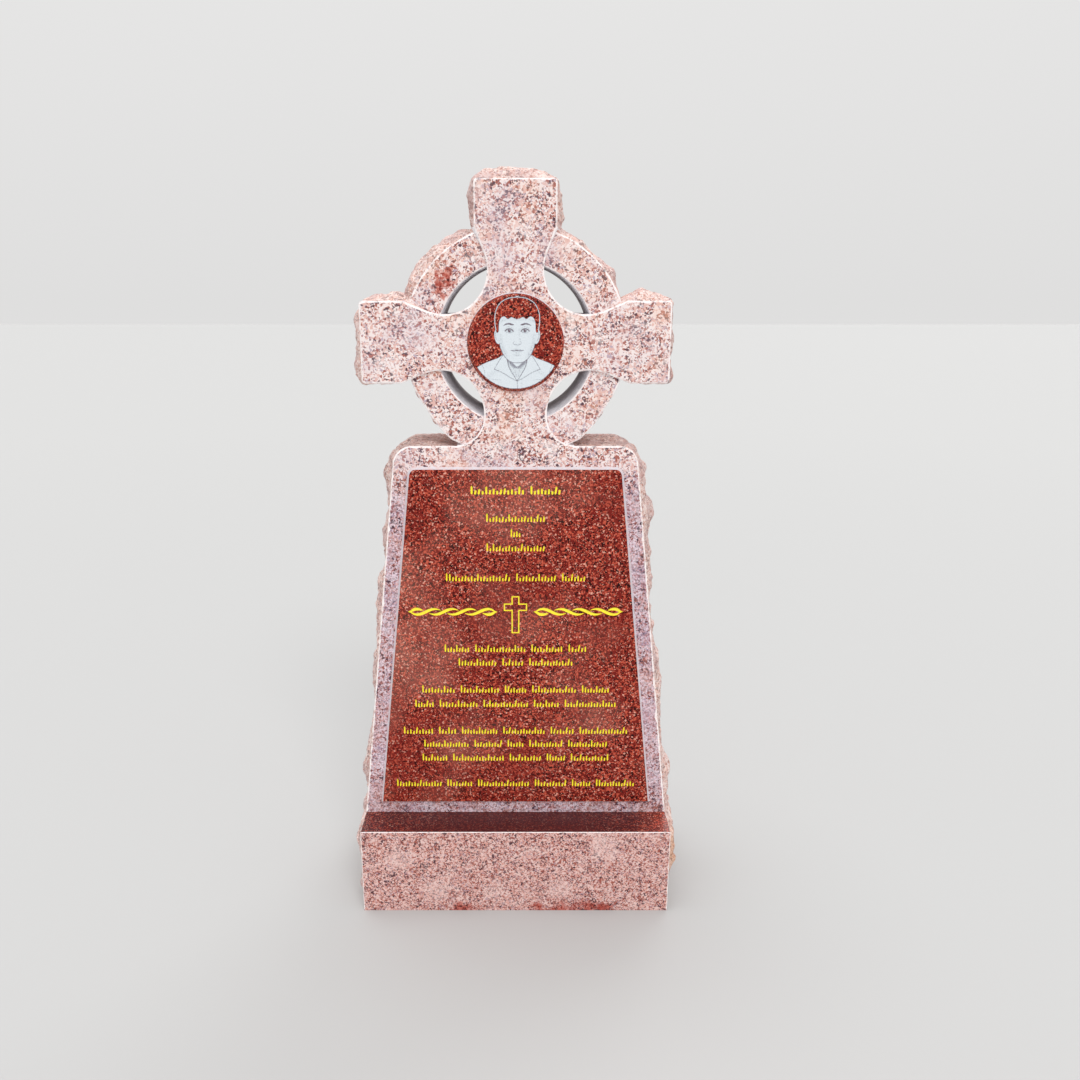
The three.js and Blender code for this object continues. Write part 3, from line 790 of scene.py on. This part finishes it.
def smoothed(points, closed):
    """A curve through the points, in short steps."""
    p = np.array(points, float)
    if closed:
        p = np.vstack((p[-1], p, p[0], p[1]))
    else:
        p = np.vstack((2 * p[0] - p[1], p, 2 * p[-1] - p[-2]))
    t = np.linspace(0, 1, 5, endpoint=False)[:, None]
    curve = []
    for a, b, c, d in zip(p, p[1:], p[2:], p[3:]):
        bend = 2 * a - 5 * b + 4 * c - d
        twist = 3 * b - a - 3 * c + d
        curve.append(0.5 * (2 * b + (c - a) * t + bend * t**2 + twist * t**3))
    return np.vstack(curve if closed else curve + [p[-2:-1]])


def away_from(u, v, curve, closed):
    """How far points lie from a curve, and negative inside a closed one."""
    nearest = np.full(u.shape, np.inf)
    inside = np.zeros(u.shape, bool)
    ends = np.roll(curve, -1, axis=0) if closed else curve[1:]
    for (ax, az), (bx, bz) in zip(curve, ends):
        dx, dz = bx - ax, bz - az
        t = np.clip(((u - ax) * dx + (v - az) * dz) / max(dx * dx + dz * dz, 1e-12), 0, 1)
        nearest = np.minimum(nearest, np.hypot(u - ax - t * dx, v - az - t * dz))
        if closed and dz:
            inside ^= ((az > v) != (bz > v)) & (u < ax + (v - az) * dx / dz)
    return np.where(inside, -nearest, nearest)


def etching(u, v):
    """How white the picture is at points given in mm from the disc's middle."""
    u = u - HEAD_SHIFT
    tone = np.zeros(u.shape)
    for parts in PICTURE:
        sides = (1,) if parts in DRAWN_ONCE else (1, -1)
        for kind, white, soft, *rest in parts:
            closed = kind == "fill"
            for side in sides:
                points = [(side * x, z) for x, z in rest[-1]]
                reach = away_from(u, v, smoothed(points, closed), closed) - (0 if closed else rest[0] / 2)
                cover = np.clip(0.5 - reach / soft, 0, 1)
                tone = tone * (1 - cover) + white * cover
    return tone


def engrave_disc(stone, middle, radius, face, depth):
    """Gives the disc's face a fine mesh that sinks where the picture is etched."""
    work = bmesh.new()
    work.from_mesh(stone.data)
    layer = work.verts.layers.float.new("etch")
    near = 1e-5

    def on_face(corner):
        away = math.hypot(corner.co.x - middle.x, corner.co.z - middle.y)
        return abs(corner.co.y - face) < near and away < radius + near

    top = [f for f in work.faces if all(on_face(v) for v in f.verts)]
    corners = {v for f in top for v in f.verts}
    rim = sorted(corners, key=lambda v: math.atan2(v.co.z - middle.y, v.co.x - middle.x))
    for f in top:
        work.faces.remove(f)

    flat = [Vector((v.co.x - middle.x, v.co.z - middle.y)) for v in rim]
    count = len(flat)
    row_share = 0.866
    for spacing, fine in ((FINE_SPACING, True), (PLAIN_SPACING, False)):
        rows = math.ceil(radius / spacing / row_share)
        for j in range(-rows, rows + 1):
            for i in range(-rows, rows + 1):
                p = Vector(((i + 0.5 * (j % 2)) * spacing, j * spacing * row_share))
                across = abs(p.x - HEAD_SHIFT * MM) < FINE_HALF * MM
                in_head = across and FINE_FOOT * MM < p.y < FINE_HEAD * MM
                if in_head == fine and p.length < radius - 1.2 * MM:
                    flat.append(p)
    spots, _, triangles, *_ = delaunay_2d_cdt(flat, [], [tuple(range(count))], 1, 1e-7)
    u = np.array([p.x for p in spots]) / MM
    v = np.array([p.y for p in spots]) / MM
    within = np.clip((radius / MM - 0.8 - np.hypot(u, v)) / 0.9, 0, 1)
    tone = etching(u, v) * within

    made = []
    for k, p in enumerate(spots):
        if k < count:
            made.append(rim[k])
        else:
            made.append(work.verts.new((middle.x + p.x, face + depth * tone[k], middle.y + p.y)))
            made[-1][layer] = tone[k]
    for triangle in triangles:
        new = work.faces.new([made[k] for k in triangle])
        new.material_index = finish_index("pictured")
    work.to_mesh(stone.data)
    work.free()


# Finishes


class Tree:
    """A material's nodes, each made with its values and joined to what feeds it."""

    def __init__(self, name):
        self.material = bpy.data.materials.new(name)
        self.material.use_nodes = True
        self.nodes = self.material.node_tree.nodes
        self.links = self.material.node_tree.links
        self.nodes.clear()
        self.output = self.nodes.new("ShaderNodeOutputMaterial")
        self.place = self.add("ShaderNodeTexCoord").outputs["Object"]

    def add(self, kind, feeds=None, **values):
        node = self.nodes.new(kind)
        for key, value in values.items():
            setattr(node, key, value)
        for key, value in (feeds or {}).items():
            socket = node.inputs[key]
            if isinstance(value, bpy.types.NodeSocket):
                self.links.new(value, socket)
            else:
                socket.default_value = value
        return node

    def noise(self, scale, detail=3.0, rough=0.5, place=None):
        feeds = {"Vector": place or self.place, "Scale": scale, "Detail": detail, "Roughness": rough}
        return self.add("ShaderNodeTexNoise", feeds).outputs["Fac"]

    def vector(self, operation, feeds, output="Vector"):
        return self.add("ShaderNodeVectorMath", feeds, operation=operation).outputs[output]

    def along(self, axis):
        """The place along one axis."""
        return self.add("ShaderNodeSeparateXYZ", {"Vector": self.place}).outputs[axis]

    def shifted(self, reach, scale):
        """The place, jittered so that grains aren't even polygons."""
        feeds = {"Vector": self.place, "Scale": scale, "Detail": 2.0}
        cloud = self.add("ShaderNodeTexNoise", feeds).outputs["Color"]
        centred = self.vector("SUBTRACT", {0: cloud, 1: (0.5, 0.5, 0.5)})
        return self.vector("ADD", {0: self.place, 1: self.vector("SCALE", {0: centred, "Scale": reach})})

    def grain(self, scale, place):
        """Two even random values for each grain of the stone."""
        cell = self.add("ShaderNodeTexVoronoi", {"Vector": place, "Scale": scale, "Randomness": 1.0})
        parts = self.add("ShaderNodeSeparateColor", {"Color": cell.outputs["Color"]})
        return parts.outputs["Red"], parts.outputs["Green"]

    def moved(self, far):
        """The place, moved so that a second pattern doesn't follow the first."""
        return self.vector("ADD", {0: self.place, 1: (far, 2 * far, -far)})

    def patch(self, middle, reach, most=1.0):
        """A ragged patch around a point of the stone."""
        away = self.vector("DISTANCE", {0: self.place, 1: middle}, "Value")
        ragged = self.math("ADD", away, self.band(self.noise(70, 5, 0.7), 0.25, 0.75, -0.02, 0.02))
        return self.band(ragged, 0.45 * reach, 1.1 * reach, most, 0.0)

    def panel_side(self):
        """The cooler stone at both sides of the panel."""
        in_front = self.band(self.along("Y"), -0.07, -0.05, 1.0, 0.0)
        return self.math("MULTIPLY", in_front, self.band(self.along("Z"), 0.80, 0.90, 1.0, 0.0))

    def tinted(self, factor, colour, tint):
        """The colour, tinted by a share."""
        return self.mix(factor, colour, self.mix(1.0, colour, tint, "MULTIPLY"))

    def ramp(self, value, stops, smooth=False):
        node = self.add("ShaderNodeValToRGB", {"Fac": value})
        node.color_ramp.interpolation = "LINEAR" if smooth else "CONSTANT"
        elements = node.color_ramp.elements
        while len(elements) > 1:
            elements.remove(elements[-1])
        elements[0].position = stops[0][0]
        elements[0].color = (*stops[0][1], 1)
        for position, colour in stops[1:]:
            elements.new(position).color = (*colour, 1)
        return node.outputs["Color"]

    def band(self, value, low, high, out_low=0.0, out_high=1.0):
        feeds = {"Value": value, "From Min": low, "From Max": high, "To Min": out_low, "To Max": out_high}
        return self.add("ShaderNodeMapRange", feeds, clamp=True).outputs["Result"]

    def mix(self, factor, a, b, mode="MIX"):
        node = self.add("ShaderNodeMix", data_type="RGBA", blend_type=mode)
        for socket, value in ((node.inputs[0], factor), (node.inputs[6], a), (node.inputs[7], b)):
            if isinstance(value, bpy.types.NodeSocket):
                self.links.new(value, socket)
            elif isinstance(value, (int, float)):
                socket.default_value = value
            else:
                socket.default_value = (*value, 1)
        return node.outputs[2]

    def math(self, operation, a, b=0.0):
        return self.add("ShaderNodeMath", {0: a, 1: b}, operation=operation).outputs[0]

    def bump(self, height, reach, strength=1.0, under=None):
        feeds = {"Height": height, "Distance": reach, "Strength": strength}
        if under is not None:
            feeds["Normal"] = under
        return self.add("ShaderNodeBump", feeds).outputs["Normal"]

    def shade(self, colour, roughness, normal=None, **constants):
        feeds = {"Base Color": colour, "Roughness": roughness}
        if normal is not None:
            feeds["Normal"] = normal
        feeds.update({key.replace("_", " "): value for key, value in constants.items()})
        shader = self.add("ShaderNodeBsdfPrincipled", feeds)
        self.links.new(shader.outputs[0], self.output.inputs[0])
        return self.material


def two_grains(tree, stops, cluster, coarse, fine, split):
    """Coarse and fine grains in the listed colours; each has a scale, a jitter and the jitter's scale."""
    coarse_grain, pick = tree.grain(coarse[0], tree.shifted(*coarse[1:]))
    fine_grain, _ = tree.grain(fine[0], tree.shifted(*fine[1:]))
    big = tree.ramp(tree.math("ADD", coarse_grain, cluster), stops)
    small = tree.ramp(tree.math("ADD", fine_grain, cluster), stops)
    return tree.mix(tree.math("GREATER_THAN", pick, split), small, big)


def dressed_grains(tree, colours, red=0.0, fineness=1.0):
    """The speckle of the pink granite: coarse and fine grains of five minerals that gather in clusters."""
    stops = [
        (0.0, colours.cream), (0.40 - red, colours.feldspar), (0.66 - red, colours.mauve),
        (0.73 - red, colours.rust), (0.885 - red / 2, colours.plum),
    ]
    gather = 0.30 / fineness
    cluster = tree.band(tree.noise(34 * fineness, 4, 0.6), 0.2, 0.8, -gather, gather)
    coarse = (225 * fineness, 3.4 * MM / fineness, 330 * fineness)
    fine = (430 * fineness, 1.8 * MM / fineness, 640 * fineness)
    return two_grains(tree, stops, cluster, coarse, fine, 0.55)


def hammer_marks(tree, colour):
    """Shades dressed stone with the pits and dents of the hammer."""
    pits = tree.noise(430, 3, 0.6)
    dents = tree.noise(130, 2, 0.5)
    normal = tree.bump(dents, 0.9 * MM, 0.45, tree.bump(pits, 0.5 * MM, 0.55))
    return tree.shade(colour, tree.band(pits, 0.3, 0.7, 0.72, 0.92), normal)


def drifted(tree, speckle, colours):
    """Warm, cool and dusty patches a hand wide."""
    warm = tree.band(tree.noise(19, 3), 0.50, 0.68, 0.0, 0.30)
    cool = tree.band(tree.noise(14, 3, place=tree.moved(3)), 0.50, 0.70, 0.0, 0.34)
    dust = tree.band(tree.noise(26, 5, 0.6, tree.moved(7)), 0.52, 0.70, 0.0, 0.55)
    colour = tree.mix(warm, speckle, (0.86, 0.50, 0.36))
    colour = tree.mix(cool, colour, (0.56, 0.44, 0.52))
    return tree.mix(dust, colour, colours.bruise)


def hammered(colours):
    """Fine-hammered pink granite."""
    tree = Tree("hammered granite")
    colour = drifted(tree, dressed_grains(tree, colours), colours)
    for x, z, reach in RING_STAINS:
        colour = tree.tinted(tree.patch((x, RING_FACE, z), reach, 0.8), colour, colours.stain)
    frosting = tree.band(tree.noise(330, 4, 0.7), 0.42, 0.58)
    dull = [0.72 * c for c in colours.cool]
    bright = [min(1, 1.28 * c) for c in colours.cool]
    return hammer_marks(tree, tree.tinted(tree.panel_side(), colour, tree.mix(frosting, dull, bright)))


def base_hammered(colours):
    """The base's front and back: redder and darker, with pale and red patches."""
    tree = Tree("hammered base granite")
    speckle = dressed_grains(tree, colours, 0.08, 1.35)
    dust = tree.band(tree.noise(24, 5, 0.6), 0.54, 0.70, 0.0, 0.3)
    colour = tree.mix(dust, speckle, colours.bruise)
    for x, z, reach in BASE_PALE:
        colour = tree.mix(tree.patch((x, BASE_FACE, z), reach, 0.30), colour, colours.bruise)
    for x, z, reach in BASE_RED:
        colour = tree.tinted(tree.patch((x, BASE_FACE, z), reach, 0.9), colour, (0.62, 0.17, 0.12))
    return hammer_marks(tree, tree.mix(1.0, colour, colours.blushing, "MULTIPLY"))


def rock(colours):
    """Freshly broken granite of the pitched edges."""
    tree = Tree("rock face granite")
    speckle = dressed_grains(tree, colours)
    fresh = tree.mix(0.36, speckle, colours.broken)
    drift = tree.band(tree.noise(22, 4), 0.44, 0.62, 0.0, 0.42)
    drifting = tree.mix(drift, fresh, (0.50, 0.33, 0.33))
    stained = tree.tinted(tree.patch((0.315, -0.12, 0.12), 0.06, 0.9), drifting, (0.95, 0.77, 0.58))
    grit = tree.noise(230, 6, 0.7)
    shards = tree.noise(75, 4, 0.6)
    normal = tree.bump(shards, 7 * MM, 0.7, tree.bump(grit, 2.2 * MM, 0.9))
    return tree.shade(stained, 0.9, normal, Specular_IOR_Level=0.12)


def arris(colours):
    """Crushed pale stone along the pitched edges."""
    tree = Tree("bruised arris")
    speckle = dressed_grains(tree, colours)
    worn = tree.band(tree.noise(80, 4, 0.6), 0.34, 0.56, 0.25, 1.0)
    colour = tree.mix(worn, speckle, colours.bruise)
    return tree.shade(colour, 0.9, tree.bump(tree.noise(500, 3), 0.5 * MM, 0.7))


def sawn(colours):
    """Smooth sawn walls of the openings and armpits, with painted shade that darkens them towards the back.
    """
    tree = Tree("sawn granite")
    speckle = dressed_grains(tree, colours)
    clean = tree.mix(0.74, speckle, colours.sawn)
    # Painted shade: the walls turn darker from the front to the back, standing in for the shade inside the
    # openings.
    painted_back_shade = tree.mix(1.0, clean, (0.42, 0.36, 0.36), "MULTIPLY")
    colour = tree.mix(tree.band(tree.along("Y"), -0.03, 0.035), clean, painted_back_shade)
    return tree.shade(colour, 0.75, tree.bump(tree.noise(600, 2), 0.2 * MM, 0.5))


def polish(name, colours, ground):
    """Polished red granite: dark ground with orange, black and pale grains."""
    tree = Tree(name)
    stops = [
        (0.0, ground), (0.32, colours.garnet), (0.50, ground),
        (0.64, colours.ember), (0.885, colours.blush), (0.95, colours.garnet),
    ]
    cluster = tree.band(tree.noise(60, 3, 0.6), 0.2, 0.8, -0.12, 0.12)
    return tree, two_grains(tree, stops, cluster, (350, 2.3 * MM, 480), (640, 1.2 * MM, 900), 0.5)


def polished(colours):
    """The panel and the disc's bevel."""
    tree, speckle = polish("polished granite", colours, colours.deep_red)
    hazy = tree.mix(tree.band(tree.noise(6, 3), 0.48, 0.70, 0.0, 0.22), speckle, colours.blush)
    deep = tree.band(tree.noise(7, 3, place=tree.moved(5)), 0.50, 0.66, 0.0, 0.34)
    return tree.shade(tree.mix(deep, hazy, colours.deep_red), 0.24, Specular_IOR_Level=0.1)


def base_top(colours):
    """The polished top of the base, kept darker than the panel as painted dark reflection, with painted
    brighter reflection towards its ends.
    """
    tree, speckle = polish("polished base top", colours, colours.maroon)
    across = tree.math("ABSOLUTE", tree.along("X"))
    # Painted reflection: the maroon thins towards both ends, so the ends look brighter, as if they reflected
    # brighter surroundings.
    colour = tree.mix(tree.band(across, 0.12, 0.30, 0.84, 0.50), speckle, colours.maroon)
    bright = tree.mix(0.24, speckle, colours.ember)
    # Painted reflection: a warmer, brighter patch at the right end of the top.
    painted_end_reflection = tree.mix(tree.patch((0.315, -0.115, 0.175), 0.075, 0.9), colour, bright)
    return tree.shade(painted_end_reflection, 0.22, Specular_IOR_Level=0.2)


def pictured(colours):
    """The disc's face, where the etched picture whitens the polished stone."""
    tree, speckle = polish("pictured granite", colours, colours.deep_red)
    etch = tree.add("ShaderNodeAttribute", attribute_name="etch").outputs["Fac"]
    dust = tree.noise(420, 3, 0.7)
    grained = tree.math("ADD", etch, tree.band(dust, 0.32, 0.66, -0.26, 0.04))
    drawing = tree.ramp(grained, [
        (0.30, (0.14, 0.09, 0.11)), (0.55, (0.33, 0.35, 0.40)),
        (0.74, (0.62, 0.67, 0.71)), (0.97, colours.etch),
    ], True)
    colour = tree.mix(tree.band(etch, 0.12, 0.30), speckle, drawing)
    return tree.shade(colour, tree.band(etch, 0.1, 0.4, 0.24, 0.85), Specular_IOR_Level=0.1)


def honed(colours):
    """The pale bevel round the panel."""
    tree = Tree("honed bevel")
    pink = tree.band(tree.noise(190, 4), 0.42, 0.66, 0.0, 0.55)
    colour = tree.mix(pink, colours.honed, colours.feldspar)
    return tree.shade(colour, 0.55, tree.bump(tree.noise(700, 2), 0.15 * MM, 0.4))


def gilded(colours):
    """Yellow paint in the cut strokes."""
    tree = Tree("gilt strokes")
    worn = tree.band(tree.noise(260, 3), 0.6, 0.78, 0.0, 0.45)
    colour = tree.mix(worn, colours.gilt, colours.ember)
    return tree.shade(colour, 0.4, tree.bump(tree.noise(900, 2), 0.1 * MM, 0.4))


# The finishes of the stone, in the order of the pieces' material slots
MAKERS = (hammered, rock, arris, sawn, polished, honed, gilded, pictured, base_hammered, base_top)
FINISHES = tuple(make.__name__ for make in MAKERS)

# The finishes that meet all others at a crisp edge, and the angle above which any edge is crisp
CRISP = {i for i, name in enumerate(FINISHES) if name not in ("rock", "arris", "sawn")}
CREASE = math.radians(38)


def dress(piece, colours):
    """Gives a piece its finishes and keeps its real edges crisp."""
    for index, (name, make) in enumerate(zip(FINISHES, MAKERS)):
        material = bpy.data.materials.get(name)
        if material is None:
            material = make(colours)
            material.name = name
        if index < len(piece.data.materials):
            piece.data.materials[index] = material
        else:
            piece.data.materials.append(material)
    work = bmesh.new()
    work.from_mesh(piece.data)
    for face in work.faces:
        face.smooth = True
    for edge in work.edges:
        meeting = {face.material_index for face in edge.link_faces}
        edge.smooth = not (len(meeting) == 2 and meeting & CRISP) and edge.calc_face_angle(0) < CREASE
    work.to_mesh(piece.data)
    work.free()


# Operators


class CarveUpright(bpy.types.Operator):
    """Carve the tablet, cross, ring, panel and disc from one slab"""

    bl_idname = "headstone.carve_upright"
    bl_label = "Carve upright"

    def execute(self, context):
        kit = context.scene.headstone
        up, panel = kit.upright, kit.panel
        lift = UPRIGHT_BOX[0].z
        front, back = -up.thickness / 2, up.thickness / 2
        centre = up.tablet_height + up.cross_rise

        marks = slab_half(up, ROCK["right"]) + mirrored(slab_half(up, ROCK["left"]))[1:]
        stone = rock_block("upright", marks, front, back, up.arris, UPRIGHT_BOX, lift)
        combine(stone, ring_block(up, centre, front, back, lift), "UNION")

        seat = 3 * MM
        wide = panel_outline(up, panel, 0.0, lift)
        narrow = panel_outline(up, panel, panel.bevel, lift)
        plates = [(narrow, front - panel.rise), (wide, front), (wide, front + seat)]
        combine(stone, plate("panel", plates, ["honed", "honed"], "polished"), "UNION")

        disc = circle(centre + lift, panel.disc_radius, step=2.2 * MM)
        middle = Vector((0, centre + lift))
        rim = [middle + (p - middle) * (1 - panel.disc_bevel / panel.disc_radius) for p in disc]
        pale = []
        for p in disc:
            out = (p - middle).normalized()
            pale.append(p - out * (0.3 * MM + 1.3 * MM * max(0.0, out.y)))
        raised = front - panel.disc_rise
        plates = [(rim, raised), (pale, front - 1.0 * MM), (disc, front), (disc, front + seat)]
        combine(stone, plate("disc", plates, ["polished", "honed", "honed"], "polished"), "UNION")

        combine(stone, inscription(panel, front, lift), "DIFFERENCE")
        for strand in ropes(panel, front, lift):
            combine(stone, strand, "DIFFERENCE")
        combine(stone, small_cross(panel, front, lift), "DIFFERENCE")
        engrave_disc(stone, middle, panel.disc_radius - panel.disc_bevel, raised, panel.picture_depth)

        dress(stone, kit.colours)
        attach(stone, "root")
        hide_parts("headstone")
        return {"FINISHED"}


class CutBase(bpy.types.Operator):
    """Cut the base block: polished top, hammered front and back, rock-pitched ends"""

    bl_idname = "headstone.cut_base"
    bl_label = "Cut base"

    def execute(self, context):
        kit = context.scene.headstone
        size = kit.base
        half, tall = size.width / 2, size.height
        right = stretch([Vector((half, 0)), Vector((half, tall))], ROCK["right"]["base"], "rock")
        humps = [(1 - share, proud) for share, proud in ROCK["left"]["base"][::-1]]
        left = stretch([Vector((-half, tall)), Vector((-half, 0))], humps, "rock")
        top = stretch([Vector((half, tall)), Vector((-half, tall))], None, "base_top", 8 * MM)
        foot = stretch([Vector((-half, 0)), Vector((half, 0))], None, "sawn", 8 * MM)
        marks = right[:-1] + top[:-1] + left[:-1] + foot[:-1]
        block = rock_block("base_block", marks, -size.depth / 2, size.depth / 2, kit.upright.arris / 2,
                           BASE_BOX, step=5 * MM, face="base_hammered")
        dress(block, kit.colours)
        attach(block, "root")
        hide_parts("base")
        return {"FINISHED"}


class SetStage(bpy.types.Operator):
    """Set the pale floor, the soft lights and the camera"""

    bl_idname = "headstone.set_stage"
    bl_label = "Set stage"

    def execute(self, context):
        kit = context.scene.headstone
        stage = kit.stage
        scene = context.scene
        scene.view_settings.view_transform = "Standard"

        far = FLOOR_REACH
        floor = solid("floor", [(-far, -far, 0), (far, -far, 0), (far, far, 0), (-far, far, 0)],
                      [(0, 1, 2, 3)], [FINISHES[0]])
        tree = Tree("pale floor")
        away = tree.vector("LENGTH", {0: tree.place}, "Value")
        colour = tree.mix(tree.band(away, 0.4, 7.0), FLOOR_NEAR, FLOOR_FAR)
        floor.data.materials.append(tree.shade(colour, 0.9))

        world = bpy.data.worlds.new("pale surroundings")
        world.use_nodes = True
        nodes, links = world.node_tree.nodes, world.node_tree.links
        coordinates = nodes.new("ShaderNodeTexCoord")
        parts = nodes.new("ShaderNodeSeparateXYZ")
        rise = nodes.new("ShaderNodeMapRange")
        for key, value in (("From Max", 0.8), ("To Min", stage.sky), ("To Max", stage.sky * SKY_OVERHEAD)):
            rise.inputs[key].default_value = value
        links.new(coordinates.outputs["Generated"], parts.inputs[0])
        links.new(parts.outputs["Z"], rise.inputs["Value"])
        links.new(rise.outputs[0], nodes["Background"].inputs[1])
        nodes["Background"].inputs[0].default_value = SKY_TINT
        scene.world = world

        for name, place, spread, power in LIGHTS:
            light = bpy.data.lights.new(name, "SUN")
            light.angle = math.radians(spread)
            light.energy = power
            lamp = bpy.data.objects.new(name, light)
            lamp.location = place
            lamp.rotation_euler = (-Vector(place)).to_track_quat("-Z", "Y").to_euler()
            scene.collection.objects.link(lamp)

        camera = bpy.data.cameras.new("camera")
        camera.sensor_width = 36
        camera.lens = stage.lens
        camera.shift_x = stage.shift
        camera.clip_end = 60
        eye = bpy.data.objects.new("camera", camera)
        face = -kit.upright.thickness / 2
        eye.location = (0, face - stage.eye_distance, kit.base.height + stage.eye_height)
        eye.rotation_euler = (math.pi / 2 - stage.eye_tilt, 0, 0)
        scene.collection.objects.link(eye)
        scene.camera = eye
        return {"FINISHED"}


class HeadstoneKit(bpy.types.PropertyGroup):
    """All the settings of the headstone"""

    upright: PointerProperty(name="Upright", description="Sizes of the upright", type=UprightSizes)
    panel: PointerProperty(name="Panel", description="Sizes of the panel and disc", type=PanelSizes)
    base: PointerProperty(name="Base", description="Sizes of the base", type=BaseSizes)
    colours: PointerProperty(name="Colours", description="Colours of the stone", type=StoneColours)
    stage: PointerProperty(name="Stage", description="Camera and lights", type=StageSettings)


class HeadstonePanel(bpy.types.Panel):
    """Lists the steps that build the headstone"""

    bl_idname = "VIEW3D_PT_headstone"
    bl_label = "Headstone"
    bl_space_type = "VIEW_3D"
    bl_region_type = "UI"
    bl_category = "Headstone"

    def draw(self, context):
        for step in STEPS:
            self.layout.operator(step.bl_idname)


STEPS = (CarveUpright, CutBase, SetStage)
CLASSES = (
    UprightSizes, PanelSizes, BaseSizes, StoneColours, StageSettings, HeadstoneKit, *STEPS, HeadstonePanel,
)


def register():
    for item in CLASSES:
        bpy.utils.register_class(item)
    bpy.types.Scene.headstone = PointerProperty(type=HeadstoneKit)


def unregister():
    del bpy.types.Scene.headstone
    for item in reversed(CLASSES):
        bpy.utils.unregister_class(item)


def main():
    register()
    bpy.ops.headstone.carve_upright()
    bpy.ops.headstone.cut_base()
    bpy.ops.headstone.set_stage()


if __name__ == "__main__":
    main()
